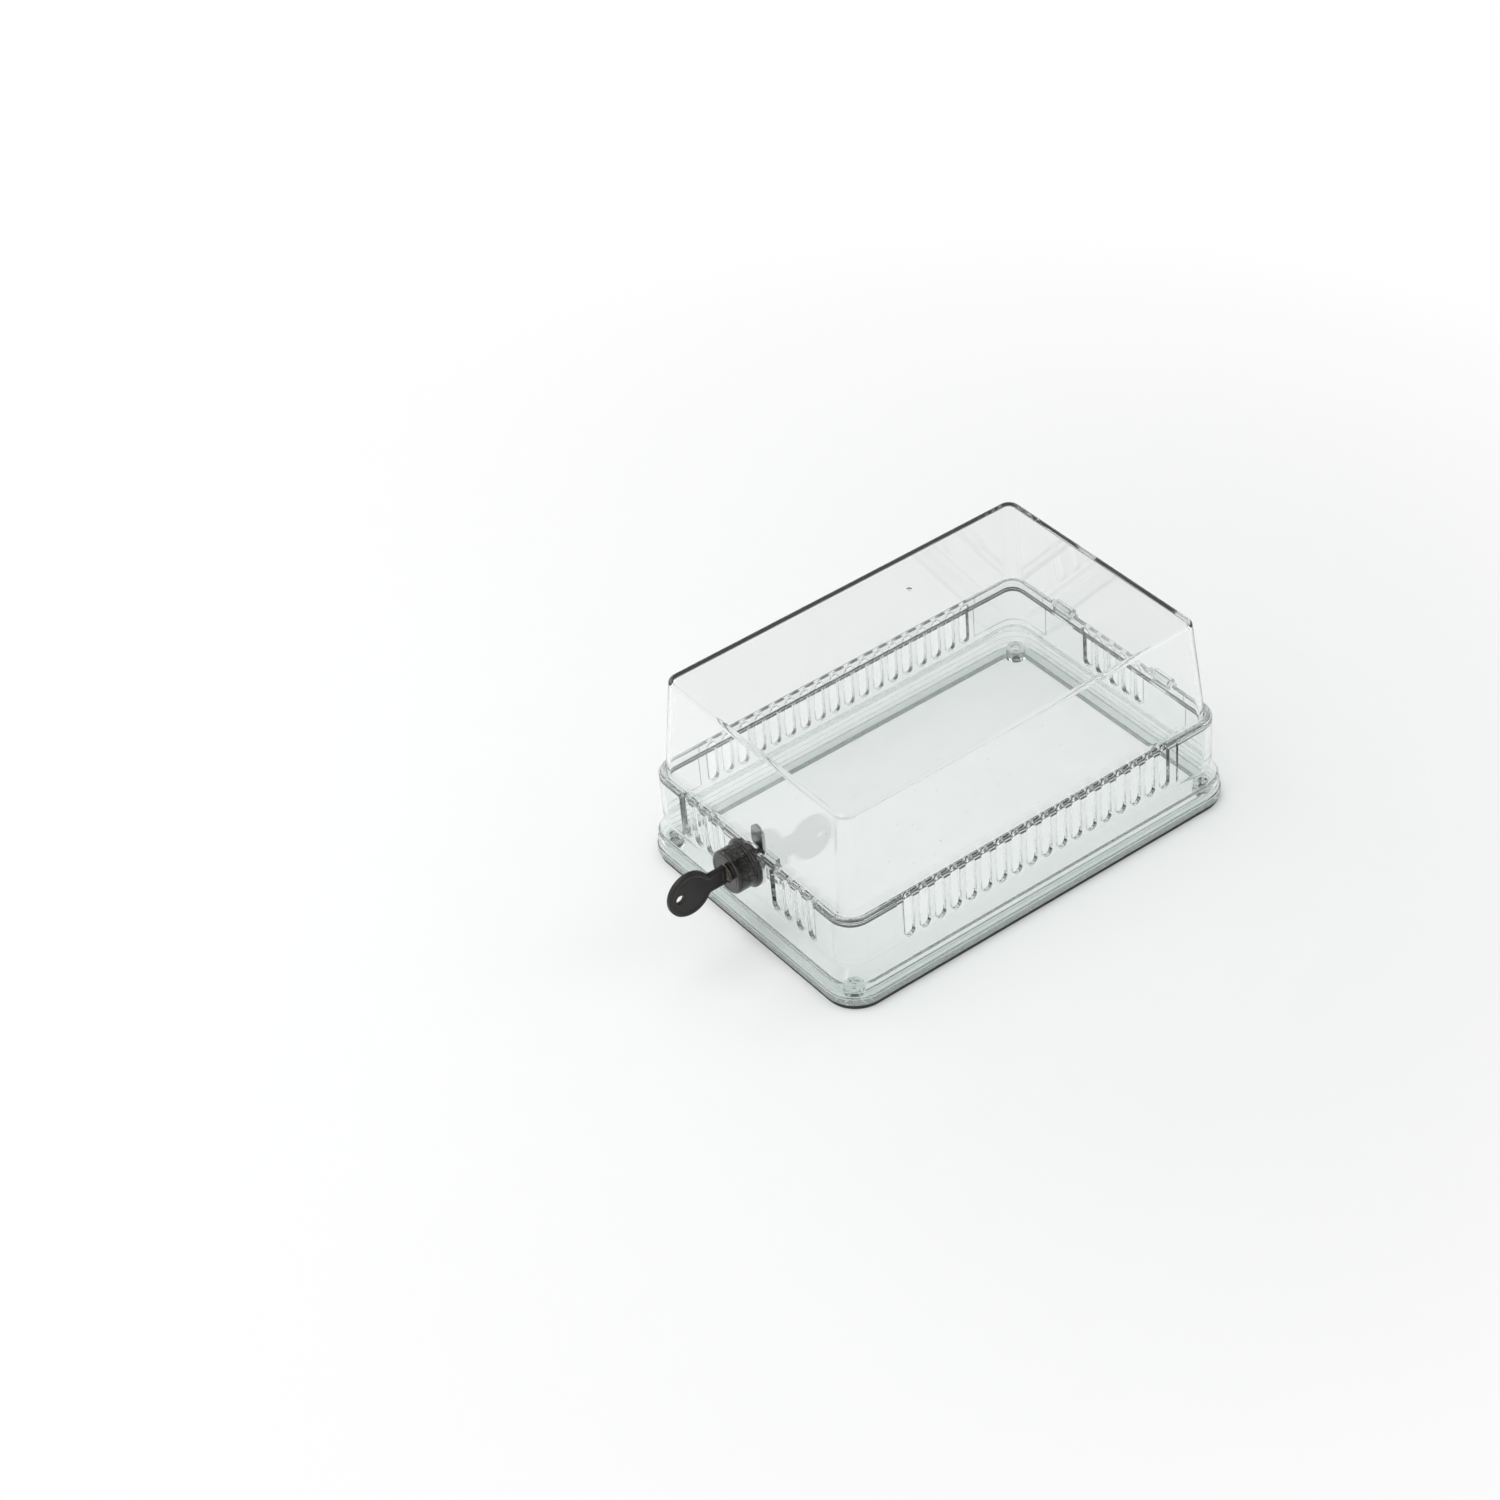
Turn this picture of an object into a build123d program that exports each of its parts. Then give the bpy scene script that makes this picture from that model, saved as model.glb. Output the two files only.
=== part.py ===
from build123d import *
import os
from math import floor

os.makedirs("parts", exist_ok=True)

# A clear thermostat guard: an opaque wall plate, a clear vented base ring, and a clear cover
# that hooks on the ring at +X, swings up, and is held shut by a key lock in the ring's -X end.
# Frame: +Z points out of the wall, +X along the guard, and z = 0 is the plate's wall face.
# The origin is the centre of the plate's four screw holes. All sizes are in millimetres.

# --- cutting and picking ---
cutter_over = 1.0         # how far a cutter passes the face it opens
edge_tolerance = 0.01     # edges this near a height or place are taken as on it

# --- cover ---
cover_length = 214.6      # across the flat front, outside
cover_width = 138.0
overall_height = 107.0    # wall face to cover front
cover_wall = 2.5
cover_flare = 5.1         # each side grows this much from the front to the rim
cover_corner = 6.5        # outer corner radius at the front
cover_edge_round = 1.6    # rounding along the front's outer edge

# --- base ring ---
rim_height = 52.0         # wall face to the ring's rim
ring_wall = 2.5
rim_corner = 12.0         # outer corner radius at the rim
rim_gap = 0.4             # cover skirt to ring lip, per side
seat_depth = 4.0          # how far the cover's skirt sits below the rim
seat_thickness = 1.5
seat_clearance = 0.2      # seat's inner edge stands back from the skirt's inner face
foot_overhang = 5.3       # bottom edge beyond the rim, per side
foot_step = 0.6           # width of each ledge above the bottom edge
foot_step_rise = 4.0      # height of each stage of the foot
foot_stages = 3
flare_rise = 7.0          # height over which the foot narrows to the wall above
shelf_width = 5.1         # inward shelf at the ring's bottom
shelf_thickness = 3.0

# --- vent slots ---
slot_width = 5.5
slot_pitch = 9.3
slot_bottom = 25.0        # wall face to the slots' lower ends
slot_top_margin = 2.0     # slots' upper ends below the rim
corner_panel_x = 29.0     # plain panel from the corner along X
corner_panel_y = 25.0     # plain panel from the corner along Y
panel_thickness = 0.8     # raised pad on each plain corner
panel_margin = 1.5        # pad's top edge below the rim
lock_slots_per_side = 4

# --- wall plate ---
plate_thickness = 2.5
plate_inset = 1.0         # plate's edge inside the ring's bottom edge
locating_step = 0.7       # raised middle that centres the ring
locating_clearance = 0.3

# --- wall screw holes ---
screw_hole_radius = 2.2
boss_radius = 5.0
boss_height = 6.5         # above the plate
boss_set_in = 5.5         # boss axis from the ring's inner corner

# --- hinge hooks at +X ---
hook_spacing = 72.0       # between the two hooks' middles
hook_width = 12.0
hook_side_gap = 0.5
hook_thickness = 1.5
bar_radius = 1.5
bar_clearance = 0.06
bar_drop = 0.8            # bar axis below the rim
bar_stand_off = 1.7       # bar axis outside the lip's inner face
bar_seat_radius = 1.85
bar_seat_length = 2.5
hook_sweep_gap = 0.5
hook_tip_reach = 0.9      # the hook's open side ends this far past the bar axis

# --- lock ---
lock_drop = 10.5          # lock axis below the rim
head_radius = 11.3
head_length = 10.0
head_round = 1.4
trim_radius = 12.8
trim_thickness = 2.5
trim_bevel = 0.8
shank_radius = 6.25
shank_clearance = 0.3
washer_radius = 8.0
washer_thickness = 0.8
nut_flats = 15.5
nut_thickness = 3.0
nut_clearance = 0.4
shank_past_nut = 1.8      # threads that show behind the nut
plug_radius = 4.5
plug_clearance = 0.05
plug_recess = 0.4
plug_end_gap = 0.2        # plug's shoulder past the shank
cam_thickness = 1.6
cam_length = 18.0
cam_width = 9.0
cam_hub_radius = 6.0
cam_square = 5.6
cam_square_clearance = 0.05
cam_washer_thickness = 0.5
cam_washer_radius = 4.6
cam_screw_head_radius = 3.6
cam_screw_head = 1.6
cam_screw_radius = 1.4
cam_screw_length = 5.0
cam_screw_clearance = 0.05
driver_slot_width = 0.9
driver_slot_depth = 0.7

# --- wafers and springs inside the plug ---
wafer_count = 5
wafer_pitch = 2.6
wafer_first = 2.8         # first wafer's middle behind the plug's face
wafer_thickness = 1.0
wafer_width = 5.0
wafer_height = 7.2
wafer_clearance = 0.05
wafer_lug_reach = 1.2
wafer_lug_height = 1.2
wafer_lug_bottom = 0.9
window_clearance_side = 0.3
window_clearance_end = 0.3
spring_radius = 0.45
spring_length = 2.6
spring_clearance = 0.1

# --- key ---
blade_thickness = 1.8
blade_height = 5.0
blade_depth = 15.0        # into the plug
blade_tip = 1.4           # length of the tip's bevel
keyway_clearance = 0.15
keyway_end_gap = 0.5
cut_width = 2.4            # notch in the blade's edge under each wafer
cut_depths = [0.6, 1.0, 0.4, 0.8, 0.6]
bow_radius = 12.2
bow_reach = 21.5          # bow's middle from the lock's face
bow_thickness = 3.0
bow_round = 0.9
neck_width = 10.4
neck_gap = 0.3            # key's shoulder to the lock's face
key_hole_radius = 2.2
key_hole_offset = 5.6     # hole beyond the bow's middle
tang_length = 14.0        # blade's root inside the bow

# --- catch ---
catch_near = 10.0         # catch's near edge from the lock axis
catch_far = 18.5
catch_thickness = 2.4
catch_gap = 0.4           # cam's underside to the catch's foot when locked
catch_foot_thickness = 2.4
catch_foot_past = 0.4     # foot past the cam's inner face
catch_slot_gap = 0.5


# --- sizes that follow from the ones above ---
skirt_length = cover_length + 2 * cover_flare
skirt_width = cover_width + 2 * cover_flare
lip_step = rim_gap + ring_wall
skirt_corner = rim_corner - lip_step
rim_length = skirt_length + 2 * lip_step
rim_width = skirt_width + 2 * lip_step
seat_z = rim_height - seat_depth
cover_inner_front = overall_height - cover_wall
ring_inner_x = rim_length / 2 - ring_wall
foot_length = rim_length + 2 * foot_overhang
foot_width = rim_width + 2 * foot_overhang
foot_top = plate_thickness + foot_stages * foot_step_rise
flare_top = foot_top + flare_rise
foot_top_overhang = foot_overhang - (foot_stages - 1) * foot_step
foot_inner_length = rim_length + 2 * (foot_top_overhang - ring_wall)
foot_inner_width = rim_width + 2 * (foot_top_overhang - ring_wall)
foot_inner_corner = rim_corner + foot_top_overhang - ring_wall
shelf_inner_length = foot_inner_length - 2 * shelf_width
shelf_inner_width = foot_inner_width - 2 * shelf_width
shelf_inner_corner = foot_inner_corner - shelf_width
boss_diagonal = (foot_inner_corner - boss_set_in) * 0.5 ** 0.5
boss_x = foot_inner_length / 2 - foot_inner_corner + boss_diagonal
boss_y = foot_inner_width / 2 - foot_inner_corner + boss_diagonal
bar_x = ring_inner_x + bar_stand_off
bar_z = rim_height - bar_drop
hook_radius = bar_radius + bar_clearance + hook_thickness
lock_z = rim_height - lock_drop
wall_face_x = -rim_length / 2
wall_back_x = wall_face_x + ring_wall
trim_face_x = wall_face_x - trim_thickness
head_face_x = trim_face_x - head_length
washer_back_x = wall_back_x + washer_thickness
nut_back_x = washer_back_x + nut_thickness
shank_back_x = nut_back_x + shank_past_nut
plug_face_x = head_face_x + plug_recess
cam_face_x = shank_back_x + plug_end_gap
cam_back_x = cam_face_x + cam_thickness
cam_washer_back_x = cam_back_x + cam_washer_thickness
keyway_end_x = plug_face_x + blade_depth + keyway_end_gap
nut_corner_radius = nut_flats / 3 ** 0.5


def plate_shape(length, width, radius, bottom, top):
    """An upright block with rounded corners between two heights."""
    outline = Plane.XY.offset(bottom) * RectangleRounded(length, width, radius)
    return extrude(outline, top - bottom)


def tapered(length, width, radius, bottom, top, growth):
    """A block whose bottom outline grows by growth on each side."""
    low = Plane.XY.offset(bottom) * RectangleRounded(
        length + 2 * growth, width + 2 * growth, radius + growth)
    high = Plane.XY.offset(top) * RectangleRounded(length, width, radius)
    return loft([low, high], ruled=True)


def x_cylinder(radius, start, end, y=0.0, z=lock_z):
    """A round bar along X between two x positions."""
    return Plane.YZ.offset(start) * Pos(y, z) * extrude(Circle(radius), end - start)


def y_cylinder(radius, x, z, middle, length):
    """A round bar along Y, centred on middle."""
    return Pos(x, middle, z) * Rot(90, 0, 0) * Cylinder(radius, length)


def span_box(low, high):
    """A box from its lowest corner to its highest."""
    size = [b - a for a, b in zip(low, high)]
    return Pos(*low) * Box(*size, align=(Align.MIN, Align.MIN, Align.MIN))


def corners():
    return [(sx, sy) for sx in (-1, 1) for sy in (-1, 1)]


# --- wall plate ---
def screw_holes(bottom, top):
    hole = Cylinder(screw_hole_radius, top - bottom, align=(Align.CENTER, Align.CENTER, Align.MIN))
    return [Pos(sx * boss_x, sy * boss_y, bottom) * hole for sx, sy in corners()]


def make_wall_plate():
    foot_corner = rim_corner + foot_overhang
    body = plate_shape(foot_length - 2 * plate_inset, foot_width - 2 * plate_inset,
                       foot_corner - plate_inset, 0, plate_thickness)
    step = plate_shape(shelf_inner_length - 2 * locating_clearance,
                       shelf_inner_width - 2 * locating_clearance,
                       shelf_inner_corner - locating_clearance,
                       plate_thickness, plate_thickness + locating_step)
    for sx, sy in corners():
        pocket = Cylinder(boss_radius + locating_clearance, locating_step,
                          align=(Align.CENTER, Align.CENTER, Align.MIN))
        step -= Pos(sx * boss_x, sy * boss_y, plate_thickness) * pocket
    plate = body + step
    for hole in screw_holes(-cutter_over, plate_thickness + cutter_over):
        plate -= hole
    return plate


# --- base ring ---
def slot_cutter(across_y, place, low_x, high_x):
    """A tall slot with round ends. It goes through a long wall, or through an end wall."""
    height = rim_height - slot_top_margin - slot_bottom
    middle = slot_bottom + height / 2
    outline = Rot(0, 0, 90) * SlotOverall(height, slot_width)
    if across_y:
        plane = Plane(origin=(place, low_x, middle), x_dir=(1, 0, 0), z_dir=(0, -1, 0))
        return extrude(plane * outline, -(high_x - low_x))
    plane = Plane(origin=(low_x, place, middle), x_dir=(0, 1, 0), z_dir=(1, 0, 0))
    return extrude(plane * outline, high_x - low_x)


def long_wall_slots():
    room = rim_length - 2 * corner_panel_x - slot_width
    count = floor(room / slot_pitch) + 1
    first = -(count - 1) * slot_pitch / 2
    inner = rim_width / 2 - ring_wall - cutter_over
    outer = rim_width / 2 + cutter_over
    cutters = []
    for i in range(count):
        x = first + i * slot_pitch
        cutters.append(slot_cutter(True, x, inner, outer))
        cutters.append(slot_cutter(True, x, -outer, -inner))
    return cutters


def lock_end_slots():
    outer = rim_width / 2 - corner_panel_y - slot_width / 2
    cutters = []
    for i in range(lock_slots_per_side):
        y = outer - i * slot_pitch
        if y - slot_width / 2 > trim_radius:
            for side in (-1, 1):
                cutters.append(slot_cutter(False, side * y, wall_face_x - cutter_over,
                                           wall_back_x + cutter_over))
    return cutters


def hinge_end_slots():
    room = rim_width - 2 * corner_panel_y - slot_width
    count = 2 * floor(room / 2 / slot_pitch) + 1
    keep_off = hook_width / 2 + hook_side_gap + bar_seat_length + slot_width / 2
    cutters = []
    for i in range(count):
        y = (i - (count - 1) / 2) * slot_pitch
        if abs(abs(y) - hook_spacing / 2) > keep_off:
            cutters.append(slot_cutter(False, y, ring_inner_x - cutter_over,
                                       rim_length / 2 + cutter_over))
    return cutters


def corner_panels():
    """Raised pads that wrap the four plain corners of the band."""
    bottom = slot_bottom
    top = rim_height - panel_margin
    band = plate_shape(rim_length + 2 * panel_thickness, rim_width + 2 * panel_thickness,
                       rim_corner + panel_thickness, bottom, top)
    band -= plate_shape(rim_length - ring_wall, rim_width - ring_wall,
                        rim_corner - ring_wall / 2, bottom, top)
    pads = []
    for sx, sy in corners():
        low_x, high_x = sorted((sx * (rim_length / 2 - corner_panel_x), sx * rim_length))
        low_y, high_y = sorted((sy * (rim_width / 2 - corner_panel_y), sy * rim_width))
        pads.append(band & span_box((low_x, low_y, bottom), (high_x, high_y, top)))
    return pads


def ring_shell():
    """The ring's stepped foot, flare and upright band, hollowed to an even wall."""
    solid = plate_shape(rim_length, rim_width, rim_corner, flare_top, rim_height)
    solid += tapered(rim_length, rim_width, rim_corner, foot_top, flare_top, foot_top_overhang)
    for stage in range(foot_stages):
        overhang = foot_overhang - stage * foot_step
        bottom = plate_thickness + stage * foot_step_rise
        solid += plate_shape(rim_length + 2 * overhang, rim_width + 2 * overhang,
                             rim_corner + overhang, bottom, bottom + foot_step_rise)
    inner_corner = rim_corner - ring_wall
    inner_length = rim_length - 2 * ring_wall
    inner_width = rim_width - 2 * ring_wall
    hollow = plate_shape(inner_length, inner_width, inner_corner, flare_top, rim_height)
    hollow += tapered(inner_length, inner_width, inner_corner, foot_top, flare_top,
                      foot_top_overhang)
    hollow += plate_shape(foot_inner_length, foot_inner_width, foot_inner_corner,
                          plate_thickness + shelf_thickness, foot_top)
    hollow += plate_shape(shelf_inner_length, shelf_inner_width, shelf_inner_corner,
                          plate_thickness, plate_thickness + shelf_thickness)
    return solid - hollow


def seat_ledge():
    """The narrow ledge inside the rim that the cover's skirt stands on."""
    inner_step = rim_gap + cover_wall + seat_clearance
    outer = plate_shape(rim_length - 2 * ring_wall, rim_width - 2 * ring_wall,
                        rim_corner - ring_wall, seat_z - seat_thickness, seat_z)
    return outer - plate_shape(rim_length - 2 * ring_wall - 2 * inner_step,
                               rim_width - 2 * ring_wall - 2 * inner_step,
                               rim_corner - ring_wall - inner_step,
                               seat_z - seat_thickness, seat_z)


def bosses():
    boss = Cylinder(boss_radius, boss_height, align=(Align.CENTER, Align.CENTER, Align.MIN))
    return [Pos(sx * boss_x, sy * boss_y, plate_thickness) * boss for sx, sy in corners()]


def make_base_ring():
    ring = ring_shell()
    for pad in corner_panels():
        ring += pad
    for cutter in long_wall_slots() + lock_end_slots() + hinge_end_slots():
        ring -= cutter
    ring += seat_ledge()
    for boss in bosses():
        ring += boss
    for hole in screw_holes(0, plate_thickness + boss_height + cutter_over):
        ring -= hole
    # lock hole, and the room the nut and the cover's catch need in the seat
    ring -= x_cylinder(shank_radius + shank_clearance, wall_face_x - cutter_over,
                       wall_back_x + cutter_over)
    ring -= x_cylinder(nut_corner_radius + nut_clearance, wall_back_x, nut_back_x + cutter_over)
    ring -= span_box((wall_back_x, -catch_far - catch_slot_gap,
                      seat_z - seat_thickness - cutter_over),
                     (nut_back_x + cutter_over, -catch_near + catch_slot_gap,
                      seat_z + cutter_over))
    # hinge notches, each crossed by a round bar
    notch_half = hook_width / 2 + hook_side_gap
    notch_bottom = bar_z - hook_radius - hook_sweep_gap
    for side in (-1, 1):
        y = side * hook_spacing / 2
        ring -= span_box((ring_inner_x - lip_step - cutter_over, y - notch_half, notch_bottom),
                         (rim_length, y + notch_half, rim_height + cutter_over))
        ring += y_cylinder(bar_radius, bar_x, bar_z, y, 2 * (notch_half + bar_seat_length))
        for end in (-1, 1):
            ring += y_cylinder(bar_seat_radius, bar_x, bar_z,
                               y + end * (notch_half + bar_seat_length / 2), bar_seat_length)
    return ring


# --- cover ---
def cover_shell():
    outside = loft([
        Plane.XY.offset(rim_height) * RectangleRounded(skirt_length, skirt_width, skirt_corner),
        Plane.XY.offset(overall_height) * RectangleRounded(cover_length, cover_width, cover_corner),
    ], ruled=True)
    outside = fillet(outside.edges().filter_by_position(
        Axis.Z, overall_height - edge_tolerance, overall_height + edge_tolerance), cover_edge_round)
    outside += plate_shape(skirt_length, skirt_width, skirt_corner, seat_z, rim_height)
    share = cover_wall / (overall_height - rim_height)
    front_growth = cover_flare * share
    front_corner = cover_corner + (skirt_corner - cover_corner) * share
    inside = loft([
        Plane.XY.offset(rim_height) * RectangleRounded(
            skirt_length - 2 * cover_wall, skirt_width - 2 * cover_wall, skirt_corner - cover_wall),
        Plane.XY.offset(cover_inner_front) * RectangleRounded(
            cover_length + 2 * (front_growth - cover_wall),
            cover_width + 2 * (front_growth - cover_wall), front_corner - cover_wall),
    ], ruled=True)
    inside += plate_shape(skirt_length - 2 * cover_wall, skirt_width - 2 * cover_wall,
                          skirt_corner - cover_wall, seat_z, rim_height)
    return outside - inside


def hinge_hook(y):
    """A hook that wraps the bar from the cover's wall, over the top and down outside."""
    ring = y_cylinder(hook_radius, bar_x, bar_z, y, hook_width)
    ring -= y_cylinder(bar_radius + bar_clearance, bar_x, bar_z, y, hook_width + cutter_over)
    return ring - span_box((bar_x - hook_radius - cutter_over, y - hook_width,
                            bar_z - hook_radius - cutter_over),
                           (bar_x + hook_tip_reach, y + hook_width, bar_z))


def make_catch():
    """The strike bonded to the skirt's inner face. The lock's cam turns over its foot."""
    outer_x = -skirt_length / 2 + cover_wall
    inner_x = outer_x + catch_thickness
    foot_top_z = lock_z - cam_width / 2 - catch_gap
    tongue = span_box((outer_x, -catch_far, foot_top_z - catch_foot_thickness),
                      (inner_x, -catch_near, rim_height))
    foot = span_box((outer_x, -catch_far, foot_top_z - catch_foot_thickness),
                    (cam_back_x + catch_foot_past, -catch_near, foot_top_z))
    return tongue + foot


def make_cover():
    cover = cover_shell()
    cover -= x_cylinder(nut_corner_radius + nut_clearance, wall_face_x, nut_back_x + cutter_over)
    for side in (-1, 1):
        cover += hinge_hook(side * hook_spacing / 2)
    return cover


# --- lock ---
def make_lock_body():
    head = x_cylinder(head_radius, head_face_x, trim_face_x)
    head = fillet(head.edges().filter_by_position(
        Axis.X, head_face_x - edge_tolerance, head_face_x + edge_tolerance), head_round)
    body = head + x_cylinder(shank_radius, trim_face_x, shank_back_x)
    return body - x_cylinder(plug_radius + plug_clearance, head_face_x - cutter_over,
                             shank_back_x + cutter_over)


def make_lock_trim():
    trim = x_cylinder(trim_radius, trim_face_x, wall_face_x)
    trim = chamfer(trim.edges().filter_by_position(
        Axis.X, trim_face_x - edge_tolerance, trim_face_x + edge_tolerance), trim_bevel)
    return trim - x_cylinder(shank_radius + shank_clearance, trim_face_x - cutter_over,
                             wall_face_x + cutter_over)


def make_lock_washer():
    washer = x_cylinder(washer_radius, wall_back_x, washer_back_x)
    return washer - x_cylinder(shank_radius + shank_clearance, wall_back_x - cutter_over,
                               washer_back_x + cutter_over)


def make_lock_nut():
    outline = RegularPolygon(nut_flats / 2, 6, major_radius=False)
    nut = Plane.YZ.offset(washer_back_x) * Pos(0, lock_z) * extrude(outline, nut_thickness)
    return nut - x_cylinder(shank_radius + plug_clearance, washer_back_x - cutter_over,
                            nut_back_x + cutter_over)


def wafer_middle(index):
    return plug_face_x + wafer_first + index * wafer_pitch


def wafer_outline(grow):
    """A wafer seen along the plug: a plate with a side lug that its spring lifts."""
    half_w = wafer_width / 2 + grow
    half_h = wafer_height / 2 + grow
    plate = Pos(0, lock_z) * Rectangle(2 * half_w, 2 * half_h)
    lug_low = wafer_lug_bottom - grow
    lug_high = wafer_lug_bottom + wafer_lug_height + grow
    lug_end = wafer_width / 2 + wafer_lug_reach + grow
    lug = Pos(lug_end / 2, lock_z + (lug_low + lug_high) / 2) * Rectangle(lug_end, lug_high - lug_low)
    return plate + lug


def make_wafer(index):
    window = Pos(0, lock_z) * Rectangle(blade_thickness + 2 * window_clearance_side,
                                        blade_height + 2 * window_clearance_end)
    outline = wafer_outline(0) - window
    return Plane.YZ.offset(wafer_middle(index) - wafer_thickness / 2) * extrude(outline, wafer_thickness)


def spring_rod(index, radius, extra):
    y = wafer_width / 2 + wafer_lug_reach / 2 + wafer_clearance
    top = lock_z + wafer_lug_bottom - wafer_clearance
    rod = Cylinder(radius, spring_length + extra, align=(Align.CENTER, Align.CENTER, Align.MAX))
    return Pos(wafer_middle(index), y, top) * rod


def make_lock_plug():
    plug = x_cylinder(plug_radius, plug_face_x, shank_back_x + plug_end_gap)
    tail = Plane.YZ.offset(cam_face_x) * Pos(0, lock_z) * extrude(
        Rectangle(cam_square, cam_square), cam_thickness)
    plug += tail
    keyway = Rectangle(blade_thickness + 2 * keyway_clearance, blade_height + 2 * keyway_clearance)
    plug -= Plane.YZ.offset(plug_face_x - cutter_over) * Pos(0, lock_z) * extrude(
        keyway, keyway_end_x - plug_face_x + cutter_over)
    slot_thickness = wafer_thickness + 2 * wafer_clearance
    for index in range(wafer_count):
        slot = wafer_outline(wafer_clearance)
        plug -= Plane.YZ.offset(wafer_middle(index) - slot_thickness / 2) * extrude(
            slot, slot_thickness)
        plug -= spring_rod(index, spring_radius + spring_clearance, spring_clearance)
    hole_start = cam_washer_back_x - cam_screw_length - cam_screw_clearance
    return plug - x_cylinder(cam_screw_radius + cam_screw_clearance, hole_start,
                             cam_back_x + cutter_over)


def make_cam():
    """The flat arm on the plug's tail. At rest it points up, clear of the catch."""
    arm = Pos(0, lock_z) * Circle(cam_hub_radius)
    arm += Pos(0, lock_z + (cam_length - cam_width / 2) / 2) * Rectangle(
        cam_width, cam_length - cam_width / 2)
    arm += Pos(0, lock_z + cam_length - cam_width / 2) * Circle(cam_width / 2)
    side = cam_square + 2 * cam_square_clearance
    arm -= Pos(0, lock_z) * Rectangle(side, side)
    return Plane.YZ.offset(cam_face_x) * extrude(arm, cam_thickness)


def make_cam_washer():
    washer = x_cylinder(cam_washer_radius, cam_back_x, cam_washer_back_x)
    return washer - x_cylinder(cam_screw_radius + cam_screw_clearance,
                               cam_back_x - cutter_over, cam_washer_back_x + cutter_over)


def make_cam_screw():
    head_back_x = cam_washer_back_x + cam_screw_head
    screw = x_cylinder(cam_screw_head_radius, cam_washer_back_x, head_back_x)
    screw += x_cylinder(cam_screw_radius, cam_washer_back_x - cam_screw_length, cam_washer_back_x)
    for width, height in ((driver_slot_width, cam_screw_head_radius),
                          (cam_screw_head_radius, driver_slot_width)):
        screw -= Plane.YZ.offset(head_back_x - driver_slot_depth) * Pos(0, lock_z) * extrude(
            Rectangle(width, height), driver_slot_depth + cutter_over)
    return screw


# --- key ---
def bow_middle_x():
    return head_face_x - bow_reach


def make_key_bow():
    middle = bow_middle_x()
    shoulder_x = head_face_x - neck_gap
    plane = Plane.XZ.offset(-bow_thickness / 2)
    outline = Pos(middle, lock_z) * Circle(bow_radius)
    outline += Pos((middle + shoulder_x) / 2, lock_z) * Rectangle(shoulder_x - middle, neck_width)
    bow = extrude(plane * outline, bow_thickness)
    faces = bow.faces().filter_by(Axis.Y)
    bow = fillet(faces.edges(), bow_round)
    hole = y_cylinder(key_hole_radius, middle - key_hole_offset, lock_z, 0, 2 * bow_thickness)
    pocket = span_box((shoulder_x - tang_length, -blade_thickness / 2, lock_z - blade_height / 2),
                      (shoulder_x + cutter_over, blade_thickness / 2, lock_z + blade_height / 2))
    return bow - hole - pocket


def make_key_blade():
    shoulder_x = head_face_x - neck_gap
    tip_x = plug_face_x + blade_depth
    half = blade_height / 2
    corners_xz = [
        (shoulder_x - tang_length, lock_z - half), (tip_x - blade_tip, lock_z - half),
        (tip_x, lock_z - half / 2), (tip_x, lock_z + half / 2),
        (tip_x - blade_tip, lock_z + half), (shoulder_x - tang_length, lock_z + half)]
    plane = Plane.XZ.offset(-blade_thickness / 2)
    blade = extrude(plane * make_face(Polyline(*corners_xz, close=True)), blade_thickness)
    for index, depth in enumerate(cut_depths[:wafer_count]):
        x = wafer_middle(index)
        edge = lock_z - half
        cut = make_face(Polyline((x - cut_width / 2, edge - cutter_over),
                                 (x + cut_width / 2, edge - cutter_over),
                                 (x, edge + depth), close=True))
        blade -= extrude(plane * cut, blade_thickness)
    return blade


def build():
    made = {
        "wall_plate": make_wall_plate(),
        "base_ring": make_base_ring(),
        "cover": make_cover(),
        "catch": make_catch(),
        "lock_body": make_lock_body(),
        "lock_trim": make_lock_trim(),
        "lock_washer": make_lock_washer(),
        "lock_nut": make_lock_nut(),
        "lock_plug": make_lock_plug(),
        "cam": make_cam(),
        "cam_washer": make_cam_washer(),
        "cam_screw": make_cam_screw(),
        "key_bow": make_key_bow(),
        "key_blade": make_key_blade(),
    }
    for index in range(wafer_count):
        made[f"wafer_{index + 1}"] = make_wafer(index)
        made[f"wafer_spring_{index + 1}"] = spring_rod(index, spring_radius, 0)
    return made


for name, solid in build().items():
    solid.label = name
    export_step(solid, f"parts/{name}.step")
    print(name, round(solid.volume, 1))
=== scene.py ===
# %% [markdown]
# # A clear thermostat lock box, piece by piece
# The real object is a clear plastic guard that is screwed round a wall thermostat: a white plate
# on the wall, a clear base ring with vent slots, and a clear cover that is held shut by a key lock.
# A CAD model already fixes every size and joint. This lesson dresses that model in Blender. The
# frame is loaded first because every piece is placed from it.

# %% Load the CAD frame
import math
import bpy
import bmesh
from mathutils import Matrix, Vector


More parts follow.
